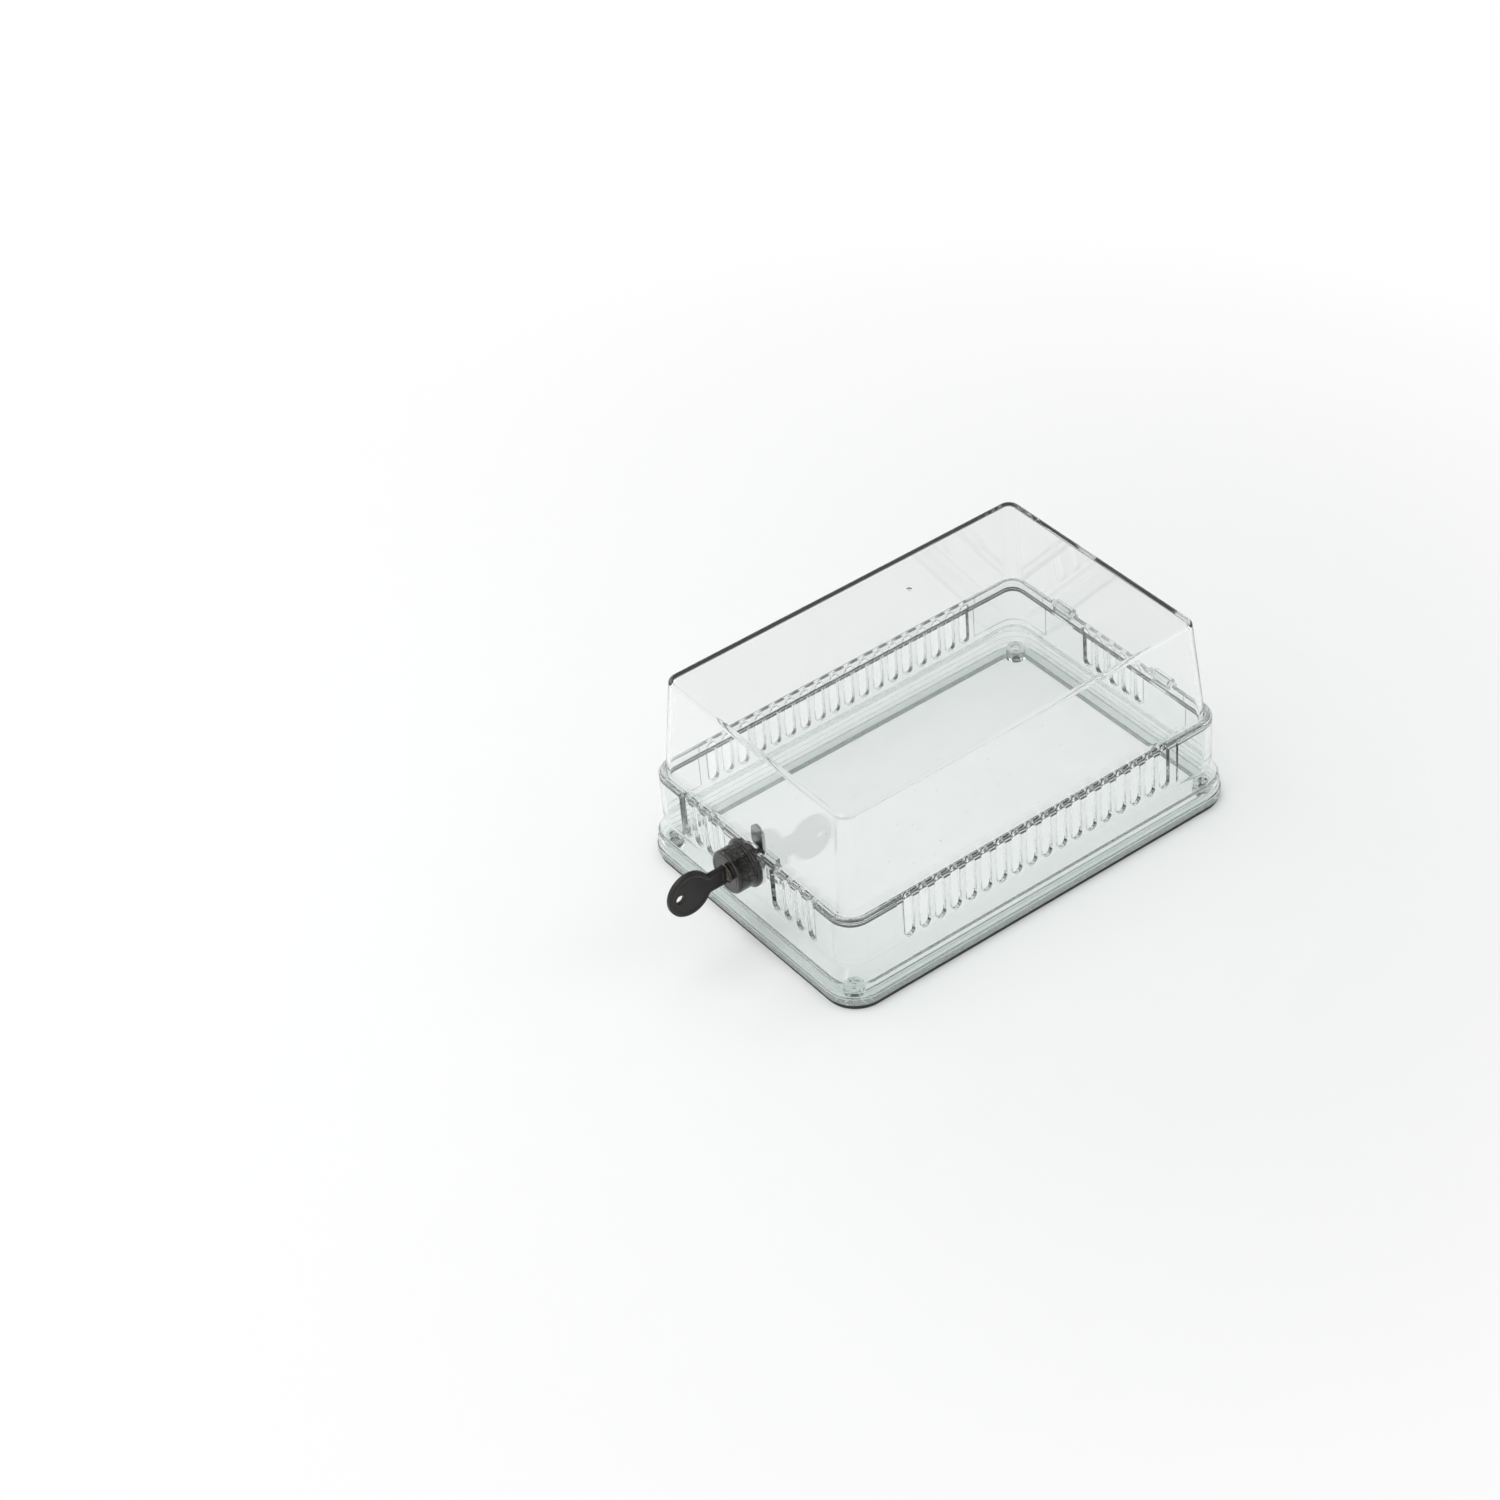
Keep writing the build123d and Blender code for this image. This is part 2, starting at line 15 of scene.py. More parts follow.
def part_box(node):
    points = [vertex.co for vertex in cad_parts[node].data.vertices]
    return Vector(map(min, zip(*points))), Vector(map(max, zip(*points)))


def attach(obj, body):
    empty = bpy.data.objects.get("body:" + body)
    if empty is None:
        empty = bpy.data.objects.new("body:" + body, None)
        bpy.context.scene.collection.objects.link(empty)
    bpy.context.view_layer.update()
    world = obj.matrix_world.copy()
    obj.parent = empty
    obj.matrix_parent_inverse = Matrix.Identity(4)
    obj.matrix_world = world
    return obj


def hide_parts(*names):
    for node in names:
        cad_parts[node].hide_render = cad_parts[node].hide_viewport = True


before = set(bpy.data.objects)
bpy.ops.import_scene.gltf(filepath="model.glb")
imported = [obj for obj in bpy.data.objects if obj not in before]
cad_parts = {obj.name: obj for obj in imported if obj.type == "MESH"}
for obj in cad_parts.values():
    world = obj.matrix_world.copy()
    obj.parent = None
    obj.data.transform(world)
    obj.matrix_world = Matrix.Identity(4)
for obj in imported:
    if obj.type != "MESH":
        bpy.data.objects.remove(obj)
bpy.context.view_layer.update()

# %% [markdown]
# The guard's sizes are easier to read in millimetres, but Blender counts in metres. One small
# helper turns a point in millimetres into a Blender vector, so that the numbers below can be
# checked against a ruler.

# %% Millimetres
MM = 0.001


def point(x, y, z):
    """A point given in millimetres."""
    return Vector((x * MM, y * MM, z * MM))


print("one millimetre is", MM, "metres")

# %% [markdown]
# ## The camera
# The picture looks down on the guard from the lock end. The angles, the distance and the long lens
# were found by fitting the guard's straight edges. The camera is aimed a little to the left of the
# guard, which puts the guard right of the middle without any lens shift.

# %% Camera
VIEW_AZIMUTH = math.radians(-37.29)
VIEW_ELEVATION = math.radians(39.70)
VIEW_ROLL = math.radians(-3.06)
VIEW_DISTANCE = 1.741
PICTURE_PIXELS = 1500
FOCAL_PIXELS = 3586
AIM_PIXEL = (936, 751)      # where the point below is seen
AIM_POINT = point(0, 0, 45)

towards_camera = Vector((math.sin(VIEW_AZIMUTH) * math.cos(VIEW_ELEVATION),
                         -math.cos(VIEW_AZIMUTH) * math.cos(VIEW_ELEVATION),
                         math.sin(VIEW_ELEVATION)))
level_right = Vector((math.cos(VIEW_AZIMUTH), math.sin(VIEW_AZIMUTH), 0))
level_up = towards_camera.cross(level_right)
camera_right = level_right * math.cos(VIEW_ROLL) + level_up * math.sin(VIEW_ROLL)
camera_up = level_up * math.cos(VIEW_ROLL) - level_right * math.sin(VIEW_ROLL)

camera_turn = Matrix((camera_right, camera_up, towards_camera)).transposed()
pan = math.atan((AIM_PIXEL[0] - PICTURE_PIXELS / 2) / FOCAL_PIXELS)
tilt = math.atan((AIM_PIXEL[1] - PICTURE_PIXELS / 2) / FOCAL_PIXELS)
camera_turn = camera_turn @ Matrix.Rotation(pan, 3, "Y") @ Matrix.Rotation(tilt, 3, "X")

lens = bpy.data.cameras.new("picture_camera")
lens.sensor_width = 36
lens.lens = FOCAL_PIXELS / PICTURE_PIXELS * lens.sensor_width
lens.clip_start, lens.clip_end = 0.05, 60
camera = bpy.data.objects.new("picture_camera", lens)
camera.matrix_world = (Matrix.Translation(AIM_POINT + towards_camera * VIEW_DISTANCE)
                       @ camera_turn.to_4x4())
bpy.context.scene.collection.objects.link(camera)
bpy.context.scene.camera = camera
print("lens in mm:", round(lens.lens, 1))

# %% [markdown]
# ## How far light may travel
# A ray that crosses the cover, the ring and the cover again passes ten or more surfaces. Blender's
# stock limits would end it early and leave black patches in the plastic, so they are raised. The
# Standard view keeps colours as they are written.

# %% Render limits
scene = bpy.context.scene
scene.view_settings.view_transform = "Standard"
scene.cycles.max_bounces = 24
scene.cycles.transmission_bounces = 24
scene.cycles.transparent_max_bounces = 32
scene.cycles.glossy_bounces = 8
scene.cycles.diffuse_bounces = 4
scene.cycles.blur_glossy = 0.4
print("bounces:", scene.cycles.max_bounces)

# %% [markdown]
# ## Node helpers
# Materials are small graphs. A few helpers keep the cells below short: they add a node and fill in
# its sockets, do sums, stretch a range, and start or place a node group. A group is an effect that
# many finishes share, such as scratches, and is built only once.

# %% Node helpers
FLOAT = "NodeSocketFloat"


def feed(tree, socket, value):
    """Wires a source to the socket, or writes a plain value into it."""
    if isinstance(value, bpy.types.NodeSocket):
        tree.links.new(value, socket)
    else:
        socket.default_value = value


def add_node(tree, kind, settings=None, **inputs):
    """A node of that kind. inputs are its sockets: by name, with _ for a space, or as i0, i1."""
    node = tree.nodes.new(kind)
    for name, value in (settings or {}).items():
        setattr(node, name, value)
    for name, value in inputs.items():
        numbered = name[0] == "i" and name[1:].isdigit()
        feed(tree, node.inputs[int(name[1:]) if numbered else name.replace("_", " ")], value)
    return node


def math_node(tree, operation, a, b=0.0, clamp=False):
    """One sum of two values."""
    settings = {"operation": operation, "use_clamp": clamp}
    return add_node(tree, "ShaderNodeMath", settings, i0=a, i1=b).outputs[0]


def between(tree, value, low, high, to_low=0.0, to_high=1.0):
    """value's range low..high stretched to to_low..to_high, and held there."""
    return add_node(tree, "ShaderNodeMapRange", {"clamp": True}, Value=value, From_Min=low,
                    From_Max=high, To_Min=to_low, To_Max=to_high).outputs["Result"]


def piece_place(tree):
    """The place on the piece, in metres, from which every pattern is drawn."""
    return add_node(tree, "ShaderNodeTexCoord").outputs["Object"]


def per_metre(tree, per_mm):
    """How many a metre, from how many a millimetre."""
    return math_node(tree, "MULTIPLY", per_mm, 1000.0)


def noise(tree, where, scale, **inputs):
    """Soft random values from 0 to 1."""
    return add_node(tree, "ShaderNodeTexNoise", Vector=where, Scale=scale, **inputs).outputs["Fac"]


def facing_up(tree):
    """How far the surface faces up: 1 for a floor, 0 for a wall."""
    facing = add_node(tree, "ShaderNodeNewGeometry").outputs["Normal"]
    return add_node(tree, "ShaderNodeSeparateXYZ", Vector=facing).outputs["Z"]


def start_group(name, inputs, outputs):
    """An empty node group. inputs holds each socket's name and stock value, outputs the names."""
    group = bpy.data.node_groups.new(name, "ShaderNodeTree")
    for socket_name, value in inputs.items():
        socket = group.interface.new_socket(name=socket_name, in_out="INPUT", socket_type=FLOAT)
        socket.default_value = value
    for socket_name in outputs:
        group.interface.new_socket(name=socket_name, in_out="OUTPUT", socket_type=FLOAT)
    sources = group.nodes.new("NodeGroupInput").outputs
    return group, sources, group.nodes.new("NodeGroupOutput").inputs


def place_group(tree, group, **inputs):
    """Puts a finished group into a material, fills in its inputs and returns its outputs."""
    return add_node(tree, "ShaderNodeGroup", {"node_tree": group}, **inputs).outputs


print("node helpers ready")

# %% [markdown]
# ## Hairline scratches
# Clear covers and black lock faces pick up fine straight scratches from wiping. Drawing each line
# would take an image. Noise stretched far along one direction gives the same broken hairlines from
# a formula, and two directions laid over each other look like handling, not grain.

# %% Group: hairline scratches
SCRATCH_TURNS = ((0.3, 0.2, 0.75), (0.9, 0.5, -0.6))
SCRATCH_FADE = (0.68, 0.78)     # noise below the first value leaves the surface clean

scratch_group, given, result = start_group(
    "Hairline scratches", {"Length per mm": 0.06, "Lines per mm": 5.0, "Amount": 0.3}, ["Mask"])
where = piece_place(scratch_group)
along = per_metre(scratch_group, given["Length per mm"])
across = per_metre(scratch_group, given["Lines per mm"])
size = add_node(scratch_group, "ShaderNodeCombineXYZ", X=along, Y=across, Z=across).outputs[0]
lines = []
for turn in SCRATCH_TURNS:
    turned_place = add_node(scratch_group, "ShaderNodeVectorRotate",
                            {"rotation_type": "EULER_XYZ"}, Vector=where, Rotation=turn).outputs[0]
    stretched = add_node(scratch_group, "ShaderNodeVectorMath", {"operation": "MULTIPLY"},
                         i0=turned_place, i1=size).outputs[0]
    lines.append(between(scratch_group, noise(scratch_group, stretched, 1.0, Detail=2.0),
                         *SCRATCH_FADE))
both = math_node(scratch_group, "MAXIMUM", *lines)
feed(scratch_group, result["Mask"], math_node(scratch_group, "MULTIPLY", both, given["Amount"]))
print("group:", scratch_group.name)

# %% [markdown]
# ## Moulding ripple and haze
# No moulded sheet is optically flat. As it cools it keeps slow waves, some centimetres long, and
# faint cloudy flow marks. Slow noise gives both: a height for the waves and a mask for the haze.

# %% Group: moulding ripple
FLOW_PER_WAVE = 2.7     # flow marks are this much finer than the waves

ripple_group, given, result = start_group(
    "Moulding ripple", {"Wave per mm": 0.02, "Flow": 1.0}, ["Height", "Haze"])
where = piece_place(ripple_group)
wave_scale = per_metre(ripple_group, given["Wave per mm"])
flow_scale = math_node(ripple_group, "MULTIPLY", wave_scale, FLOW_PER_WAVE)
flow = noise(ripple_group, where, flow_scale, Detail=4.0, Roughness=0.6, Distortion=given["Flow"])
feed(ripple_group, result["Height"],
     noise(ripple_group, where, wave_scale, Detail=1.0, Distortion=0.4))
feed(ripple_group, result["Haze"], between(ripple_group, flow, 0.35, 0.75))
print("group:", ripple_group.name)

# %% [markdown]
# ## Dust
# Dust settles on faces that look up. Cells of a Voronoi pattern give a spot each, a random number
# per cell drops most of them, and the surface's own direction keeps the walls clean.

# %% Group: dust specks
dust_group, given, result = start_group(
    "Dust specks", {"Cells per mm": 0.5, "Share": 0.12, "Speck size": 0.12}, ["Mask"])
cells = add_node(dust_group, "ShaderNodeTexVoronoi", {"feature": "F1"},
                 Vector=piece_place(dust_group),
                 Scale=per_metre(dust_group, given["Cells per mm"])).outputs
chance = add_node(dust_group, "ShaderNodeSeparateColor", Color=cells["Color"]).outputs[0]
kept = math_node(dust_group, "LESS_THAN", chance, given["Share"])
spot = math_node(dust_group, "LESS_THAN", cells["Distance"], given["Speck size"])
upward = between(dust_group, facing_up(dust_group), 0.3, 0.9)
speck = math_node(dust_group, "MULTIPLY", math_node(dust_group, "MULTIPLY", kept, spot), upward)
feed(dust_group, result["Mask"], speck)
print("group:", dust_group.name)

# %% [markdown]
# ## Moulded grain
# Opaque plastic is moulded against a lightly blasted tool, which leaves a fine pebble grain. Fine
# noise over small cells makes its height, and the same noise breaks up the gloss.

# %% Group: moulded grain
grain_group, given, result = start_group(
    "Moulded grain", {"Pebbles per mm": 2.2}, ["Height", "Fleck"])
where = piece_place(grain_group)
pebble_scale = per_metre(grain_group, given["Pebbles per mm"])
pebbles = add_node(grain_group, "ShaderNodeTexVoronoi", {"feature": "SMOOTH_F1"},
                   Vector=where, Scale=pebble_scale).outputs["Distance"]
fuzz = noise(grain_group, where, pebble_scale, Detail=3.0)
half_fuzz = math_node(grain_group, "MULTIPLY", fuzz, 0.5)
feed(grain_group, result["Height"], math_node(grain_group, "ADD", pebbles, half_fuzz))
feed(grain_group, result["Fleck"], fuzz)
print("group:", grain_group.name)

# %% [markdown]
# ## Edge wear
# Black paint on a lock rubs thin on its rims first. Pointiness tells how sharply the surface turns
# at each point, so high values are the rims. Noise eats into them so the wear isn't an even line.

# %% Group: edge wear
wear_group, given, result = start_group(
    "Edge wear", {"Start": 0.53, "Full": 0.58, "Patches per mm": 0.8}, ["Mask"])
sharpness = add_node(wear_group, "ShaderNodeNewGeometry").outputs["Pointiness"]
rim = between(wear_group, sharpness, given["Start"], given["Full"])
patches = noise(wear_group, piece_place(wear_group),
                per_metre(wear_group, given["Patches per mm"]), Detail=4.0, Roughness=0.7)
broken = between(wear_group, patches, 0.45, 0.62)
feed(wear_group, result["Mask"], math_node(wear_group, "MULTIPLY", rim, broken))
print("group:", wear_group.name)

# %% [markdown]
# ## Brushed metal
# Plated steel and brass parts are tumbled and rolled, which leaves short streaks and slight
# staining. Noise stretched along one axis makes the streaks, and slow noise the stains.

# %% Group: brushed metal
STAINS_PER_METRE = 450.0

brushed_group, given, result = start_group(
    "Brushed metal", {"Streaks per mm": 9.0, "Stretch": 14.0}, ["Streak", "Stain"])
where = piece_place(brushed_group)
fine = per_metre(brushed_group, given["Streaks per mm"])
coarse = math_node(brushed_group, "DIVIDE", fine, given["Stretch"])
size = add_node(brushed_group, "ShaderNodeCombineXYZ", X=coarse, Y=fine, Z=fine).outputs[0]
stretched = add_node(brushed_group, "ShaderNodeVectorMath", {"operation": "MULTIPLY"},
                     i0=where, i1=size).outputs[0]
stain = noise(brushed_group, where, STAINS_PER_METRE, Detail=3.0)
feed(brushed_group, result["Streak"], noise(brushed_group, stretched, 1.0, Detail=3.0))
feed(brushed_group, result["Stain"], between(brushed_group, stain, 0.4, 0.7))
print("group:", brushed_group.name)

# %% [markdown]
# ## Starting a finish
# Each finish is a Principled BSDF with its plain numbers on its own sockets. Patterns reach only
# the sockets that are meant to vary: colour, roughness and, through a Bump node, the normal.

# %% Finish helpers
def show(tree, shader):
    """Makes the shader what the material shows."""
    out = next(n for n in tree.nodes if n.type == "OUTPUT_MATERIAL")
    tree.links.new(shader.outputs[0], out.inputs["Surface"])


def start_finish(name, color, **plain):
    """A material with a Principled shader. Returns the material, its tree and the shader."""
    finish = bpy.data.materials.new(name)
    finish.use_nodes = True
    tree = finish.node_tree
    tree.nodes.clear()
    shader = add_node(tree, "ShaderNodeBsdfPrincipled", Base_Color=(*color, 1), **plain)
    add_node(tree, "ShaderNodeOutputMaterial")
    show(tree, shader)
    return finish, tree, shader


def mix_color(tree, mask, first, second):
    """first where the mask is 0 and second where it is 1."""
    node = add_node(tree, "ShaderNodeMix", {"data_type": "RGBA"}, Factor=mask)
    for socket, value in ((node.inputs[6], first), (node.inputs[7], second)):
        feed(tree, socket, value if isinstance(value, bpy.types.NodeSocket) else (*value, 1))
    return node.outputs[2]


def vary(tree, shader, fleck, smooth, rough):
    """The shader's roughness, from smooth to rough, as a pattern goes from 0.3 to 0.7."""
    feed(tree, shader.inputs["Roughness"], between(tree, fleck, 0.3, 0.7, smooth, rough))


def bump(tree, shader, height, depth_mm, strength=1.0):
    """Feeds a height pattern, full height depth_mm, to the shader's normal."""
    node = add_node(tree, "ShaderNodeBump", Height=height, Distance=depth_mm * MM,
                    Strength=strength)
    feed(tree, shader.inputs["Normal"], node.outputs[0])


print("finish helpers ready")

# %% [markdown]
# ## Clear plastic
# The cover and the ring are moulded in clear plastic, which bends light about as much as window
# glass (IOR 1.50) and has a faint grey-green tint. It is modelled as a solid with two faces and
# full transmission, so its edges gather light and dark as the real ones do. True light paths
# through bent glass are slow and noisy, so rays from lamps pass straight through: a Mix Shader
# swaps in a Transparent shader for them.

# %% Finish: clear plastic
DUST_WHITE = (0.80, 0.80, 0.78)
CLOUDED = 0.985     # how much of the light a clouded patch lets through


def clear_plastic(name, tint, haze, scratches, ripple_mm, dust):
    """Clear plastic. haze and scratches roughen it, and ripple_mm is how far it is wavy."""
    finish, tree, shader = start_finish(name, tint, IOR=1.50, Transmission_Weight=1.0)
    hairlines = place_group(tree, scratch_group, Amount=scratches)["Mask"]
    ripple = place_group(tree, ripple_group)
    specks = place_group(tree, dust_group, Share=dust)["Mask"]
    rough = math_node(tree, "MULTIPLY", ripple["Haze"], haze)
    rough = math_node(tree, "ADD", rough, math_node(tree, "MULTIPLY", hairlines, 0.25))
    rough = math_node(tree, "ADD", rough, math_node(tree, "MULTIPLY", specks, 0.6), clamp=True)
    feed(tree, shader.inputs["Roughness"], rough)
    darker = tuple(CLOUDED * c for c in tint)
    clouded = mix_color(tree, ripple["Haze"], tint, darker)
    feed(tree, shader.inputs["Base Color"], mix_color(tree, specks, clouded, DUST_WHITE))
    bump(tree, shader, ripple["Height"], ripple_mm)

    paths = add_node(tree, "ShaderNodeLightPath").outputs
    straight = math_node(tree, "MAXIMUM", paths["Is Shadow Ray"], paths["Is Diffuse Ray"])
    passed = add_node(tree, "ShaderNodeBsdfTransparent", Color=(*darker, 1))
    show(tree, add_node(tree, "ShaderNodeMixShader", Fac=straight, i1=shader.outputs[0],
                        i2=passed.outputs[0]))
    return finish


cover_clear = clear_plastic("clear_cover_plastic", (0.978, 0.986, 0.982), haze=0.05,
                            scratches=0.25, ripple_mm=0.05, dust=0.10)
ring_clear = clear_plastic("clear_ring_plastic", (0.920, 0.945, 0.937), haze=0.08,
                           scratches=0.20, ripple_mm=0.06, dust=0.06)
print("finishes:", cover_clear.name, ring_clear.name)

# %% [markdown]
# ## White wall plate with painted shade on its edges
# The plate hides the wall behind the guard. It is opaque off-white plastic with a fine grain, a
# few scuffs, and a little dust. Scuffs are scratches that lighten and roughen the surface. Its
# upright faces are painted near-black. This is painted shade for the dark contact shadow under the
# guard's near edges, a band as high as the plate is thick.

# %% Finish: plate plastic
plate_white, tree, shader = start_finish("plate_white_plastic", (0.88, 0.885, 0.88), IOR=1.5)
grain = place_group(tree, grain_group, Pebbles_per_mm=1.6)
scuffs = place_group(tree, scratch_group, Lines_per_mm=2.5, Length_per_mm=0.03,
                     Amount=0.5)["Mask"]
cloud = place_group(tree, ripple_group, Wave_per_mm=0.03)["Haze"]
specks = place_group(tree, dust_group, Cells_per_mm=0.35, Share=0.10)["Mask"]
body = mix_color(tree, cloud, (0.93, 0.933, 0.93), (0.895, 0.902, 0.90))
body = mix_color(tree, math_node(tree, "MULTIPLY", scuffs, 0.5), body, (0.93, 0.93, 0.925))
body = mix_color(tree, specks, body, (0.45, 0.44, 0.41))
slope = math_node(tree, "ABSOLUTE", facing_up(tree))
upright = math_node(tree, "LESS_THAN", slope, 0.5)
# Painted shade: the plate's upright faces are painted near-black for the contact shadow under the
# guard's edges.
painted_edge_shade = mix_color(tree, scuffs, (0.016, 0.016, 0.015), (0.07, 0.07, 0.065))
feed(tree, shader.inputs["Base Color"], mix_color(tree, upright, body, painted_edge_shade))
vary(tree, shader, grain["Fleck"], 0.38, 0.56)
bump(tree, shader, grain["Height"], 0.03, 0.6)
print("finish:", plate_white.name)

# %% [markdown]
# ## Black lock enamel
# The lock's head is die-cast metal under glossy black enamel, with bare metal just showing on the
# rims. It is very dark, so its shape is drawn by the reflections of the lamps, and a slight
# unevenness of the gloss keeps those from looking drawn on.

# %% Finish: black lock enamel
ENAMEL = (0.010, 0.0095, 0.008)
lock_black, tree, shader = start_finish("lock_black_enamel", ENAMEL, IOR=1.5, Coat_Weight=0.25,
                                        Coat_Roughness=0.08, Specular_IOR_Level=0.4)
wear = place_group(tree, wear_group)["Mask"]
hairlines = place_group(tree, scratch_group, Lines_per_mm=7.0, Length_per_mm=0.25,
                        Amount=0.5)["Mask"]
grain = place_group(tree, grain_group, Pebbles_per_mm=1.1)
specks = place_group(tree, dust_group, Cells_per_mm=1.0, Share=0.15)["Mask"]
bare = mix_color(tree, wear, ENAMEL, (0.30, 0.29, 0.27))
feed(tree, shader.inputs["Base Color"], mix_color(tree, specks, bare, (0.25, 0.24, 0.22)))
feed(tree, shader.inputs["Metallic"], wear)
gloss = between(tree, grain["Fleck"], 0.3, 0.7, 0.12, 0.22)
scuffed = math_node(tree, "ADD", gloss, math_node(tree, "MULTIPLY", hairlines, 0.3))
feed(tree, shader.inputs["Roughness"], scuffed)
bump(tree, shader, grain["Height"], 0.012, 0.5)
print("finish:", lock_black.name)

# %% [markdown]
# ## Black key plastic and the plug's face
# The key's head is satin black plastic, rubbed a little grey where fingers hold it. The plug is
# black-plated brass, and its yellow metal shows at the rim of the keyway.

# %% Finish: key plastic and plug plating
KEY_PLASTIC = (0.014, 0.0135, 0.012)
key_black, tree, shader = start_finish("key_black_plastic", KEY_PLASTIC, IOR=1.5,
                                       Specular_IOR_Level=0.35)
grain = place_group(tree, grain_group, Pebbles_per_mm=3.0)
wear = place_group(tree, wear_group, Start=0.52, Full=0.60)["Mask"]
hairlines = place_group(tree, scratch_group, Lines_per_mm=6.0, Length_per_mm=0.2,
                        Amount=0.6)["Mask"]
rubbed = math_node(tree, "MAXIMUM", math_node(tree, "MULTIPLY", wear, 0.6),
                   math_node(tree, "MULTIPLY", hairlines, 0.35))
feed(tree, shader.inputs["Base Color"], mix_color(tree, rubbed, KEY_PLASTIC, (0.09, 0.088, 0.08)))
vary(tree, shader, grain["Fleck"], 0.30, 0.44)
bump(tree, shader, grain["Height"], 0.02, 0.5)

PLUG_PLATING = (0.03, 0.029, 0.027)
plug_black, tree, shader = start_finish("plug_black_metal", PLUG_PLATING, Metallic=0.0, IOR=1.5)
wear = place_group(tree, wear_group, Start=0.52, Full=0.56)["Mask"]
streak = place_group(tree, brushed_group, Streaks_per_mm=6.0)["Streak"]
feed(tree, shader.inputs["Base Color"], mix_color(tree, wear, PLUG_PLATING, (0.45, 0.38, 0.22)))
feed(tree, shader.inputs["Metallic"], wear)
vary(tree, shader, streak, 0.26, 0.42)
bump(tree, shader, streak, 0.008, 0.5)
print("finishes:", key_black.name, plug_black.name)

# %% [markdown]
# ## Bare metals
# The nut, washers, cam and screw are zinc-plated steel, the key's blade is nickel-plated, the
# wafers are stamped brass and their springs are bright wire. One function makes all four from
# the brushed-metal group, because only the colours and the gloss differ.

# %% Finish: bare metals
def bare_metal(name, bright, dull, smooth, rough, streaks):
    """A bright metal with duller stains, brushed streaks and a gloss from smooth to rough."""
    finish, tree, shader = start_finish(name, bright, Metallic=1.0)
    brushed = place_group(tree, brushed_group, Streaks_per_mm=streaks)
    stained = mix_color(tree, brushed["Stain"], bright, dull)
    depth = between(tree, brushed["Streak"], 0.4, 0.7, 0.0, 0.35)
    streaked = mix_color(tree, depth, stained, tuple(0.75 * c for c in dull))
    feed(tree, shader.inputs["Base Color"], streaked)
    vary(tree, shader, brushed["Streak"], smooth, rough)
    bump(tree, shader, brushed["Streak"], 0.01, 0.5)
    return finish


zinc_steel = bare_metal("zinc_plated_steel", (0.62, 0.63, 0.64), (0.50, 0.50, 0.48),
                        0.22, 0.40, 6.0)
blade_nickel = bare_metal("blade_nickel_plate", (0.66, 0.64, 0.60), (0.52, 0.50, 0.46),
                          0.16, 0.32, 10.0)
wafer_brass = bare_metal("wafer_brass", (0.78, 0.60, 0.28), (0.55, 0.40, 0.18), 0.20, 0.38, 12.0)
spring_wire = bare_metal("spring_wire", (0.70, 0.70, 0.70), (0.55, 0.55, 0.55), 0.12, 0.25, 20.0)
print("finishes:", zinc_steel.name, blade_nickel.name, wafer_brass.name, spring_wire.name)

# %% [markdown]
# ## Outlines with round corners
# The cover and the ring are both a wall section carried round a rectangle with round corners. One
# helper gives the angles of an arc, one makes the rectangle's loop of points, and one rounds the
# corners of a section drawn as a few points. Modelling the round edges, instead of leaving them
# sharp, is what lets the plastic's edges catch light.

# %% Outline helpers
CORNER_STEPS = 14


def arc(start, end, steps):
    """Evenly spaced angles from start to end. The ends are in degrees, the list in radians."""
    return [math.radians(start + (end - start) * i / steps) for i in range(steps + 1)]


def rounded_loop(half_x, half_y, corner, height, steps=CORNER_STEPS):
    """Points round a rectangle with round corners, in millimetres."""
    loop = []
    for middle_x, middle_y, start in ((1, 1, 0), (-1, 1, 90), (-1, -1, 180), (1, -1, 270)):
        for angle in arc(start, start + 90, steps):
            loop.append(point(middle_x * (half_x - corner) + corner * math.cos(angle),
                              middle_y * (half_y - corner) + corner * math.sin(angle), height))
    return loop


def round_section(corners, steps=4):
    """A closed section drawn as (across, up, radius) rows, with each corner rounded."""
    rounded = []
    for i, (x, y, radius) in enumerate(corners):
        here = Vector((x, y))
        before = Vector(corners[i - 1][:2]) - here
        after = Vector(corners[(i + 1) % len(corners)][:2]) - here
        half_angle = before.angle(after) / 2
        reach = min(radius / math.tan(half_angle), 0.45 * before.length, 0.45 * after.length)
        if radius == 0 or reach < 1e-6:
            rounded.append(here)
            continue
        start, end = here + before.normalized() * reach, here + after.normalized() * reach
        for k in range(steps + 1):
            t = k / steps
            rounded.append((1 - t) ** 2 * start + 2 * t * (1 - t) * here + t ** 2 * end)
    return rounded


print("a corner arc has", CORNER_STEPS, "steps")

# %% [markdown]
# ## From loops to a solid piece
# A solid is skinned by joining each loop of points to the next with four-sided faces. Weighted
# normals then keep the large flat faces optically flat, while the small round edges do the
# bending. Without them, a clear panel would bend its view like a lens.

# %% Solid helpers
def skin(mesh_maker, loops, closed=False):
    """Faces between successive loops. closed joins the last loop to the first."""
    rows = [[mesh_maker.verts.new(p) for p in loop] for loop in loops]
    pairs = list(zip(rows, rows[1:])) + ([(rows[-1], rows[0])] if closed else [])
    for low, high in pairs:
        for i in range(len(low)):
            j = (i + 1) % len(low)
            mesh_maker.faces.new((low[i], low[j], high[j], high[i]))
    return rows


def capped(mesh_maker, loops):
    """Faces between successive loops, and one across each end. Returns the two end faces."""
    rows = skin(mesh_maker, loops)
    return [mesh_maker.faces.new(rows[0]), mesh_maker.faces.new(rows[-1])]


def round_ends(mesh_maker, ends, width_mm):
    """Bevels the edges round the end faces."""
    rims = list({edge for face in ends for edge in face.edges})
    bmesh.ops.bevel(mesh_maker, geom=rims, offset=width_mm * MM, segments=2, affect="EDGES")


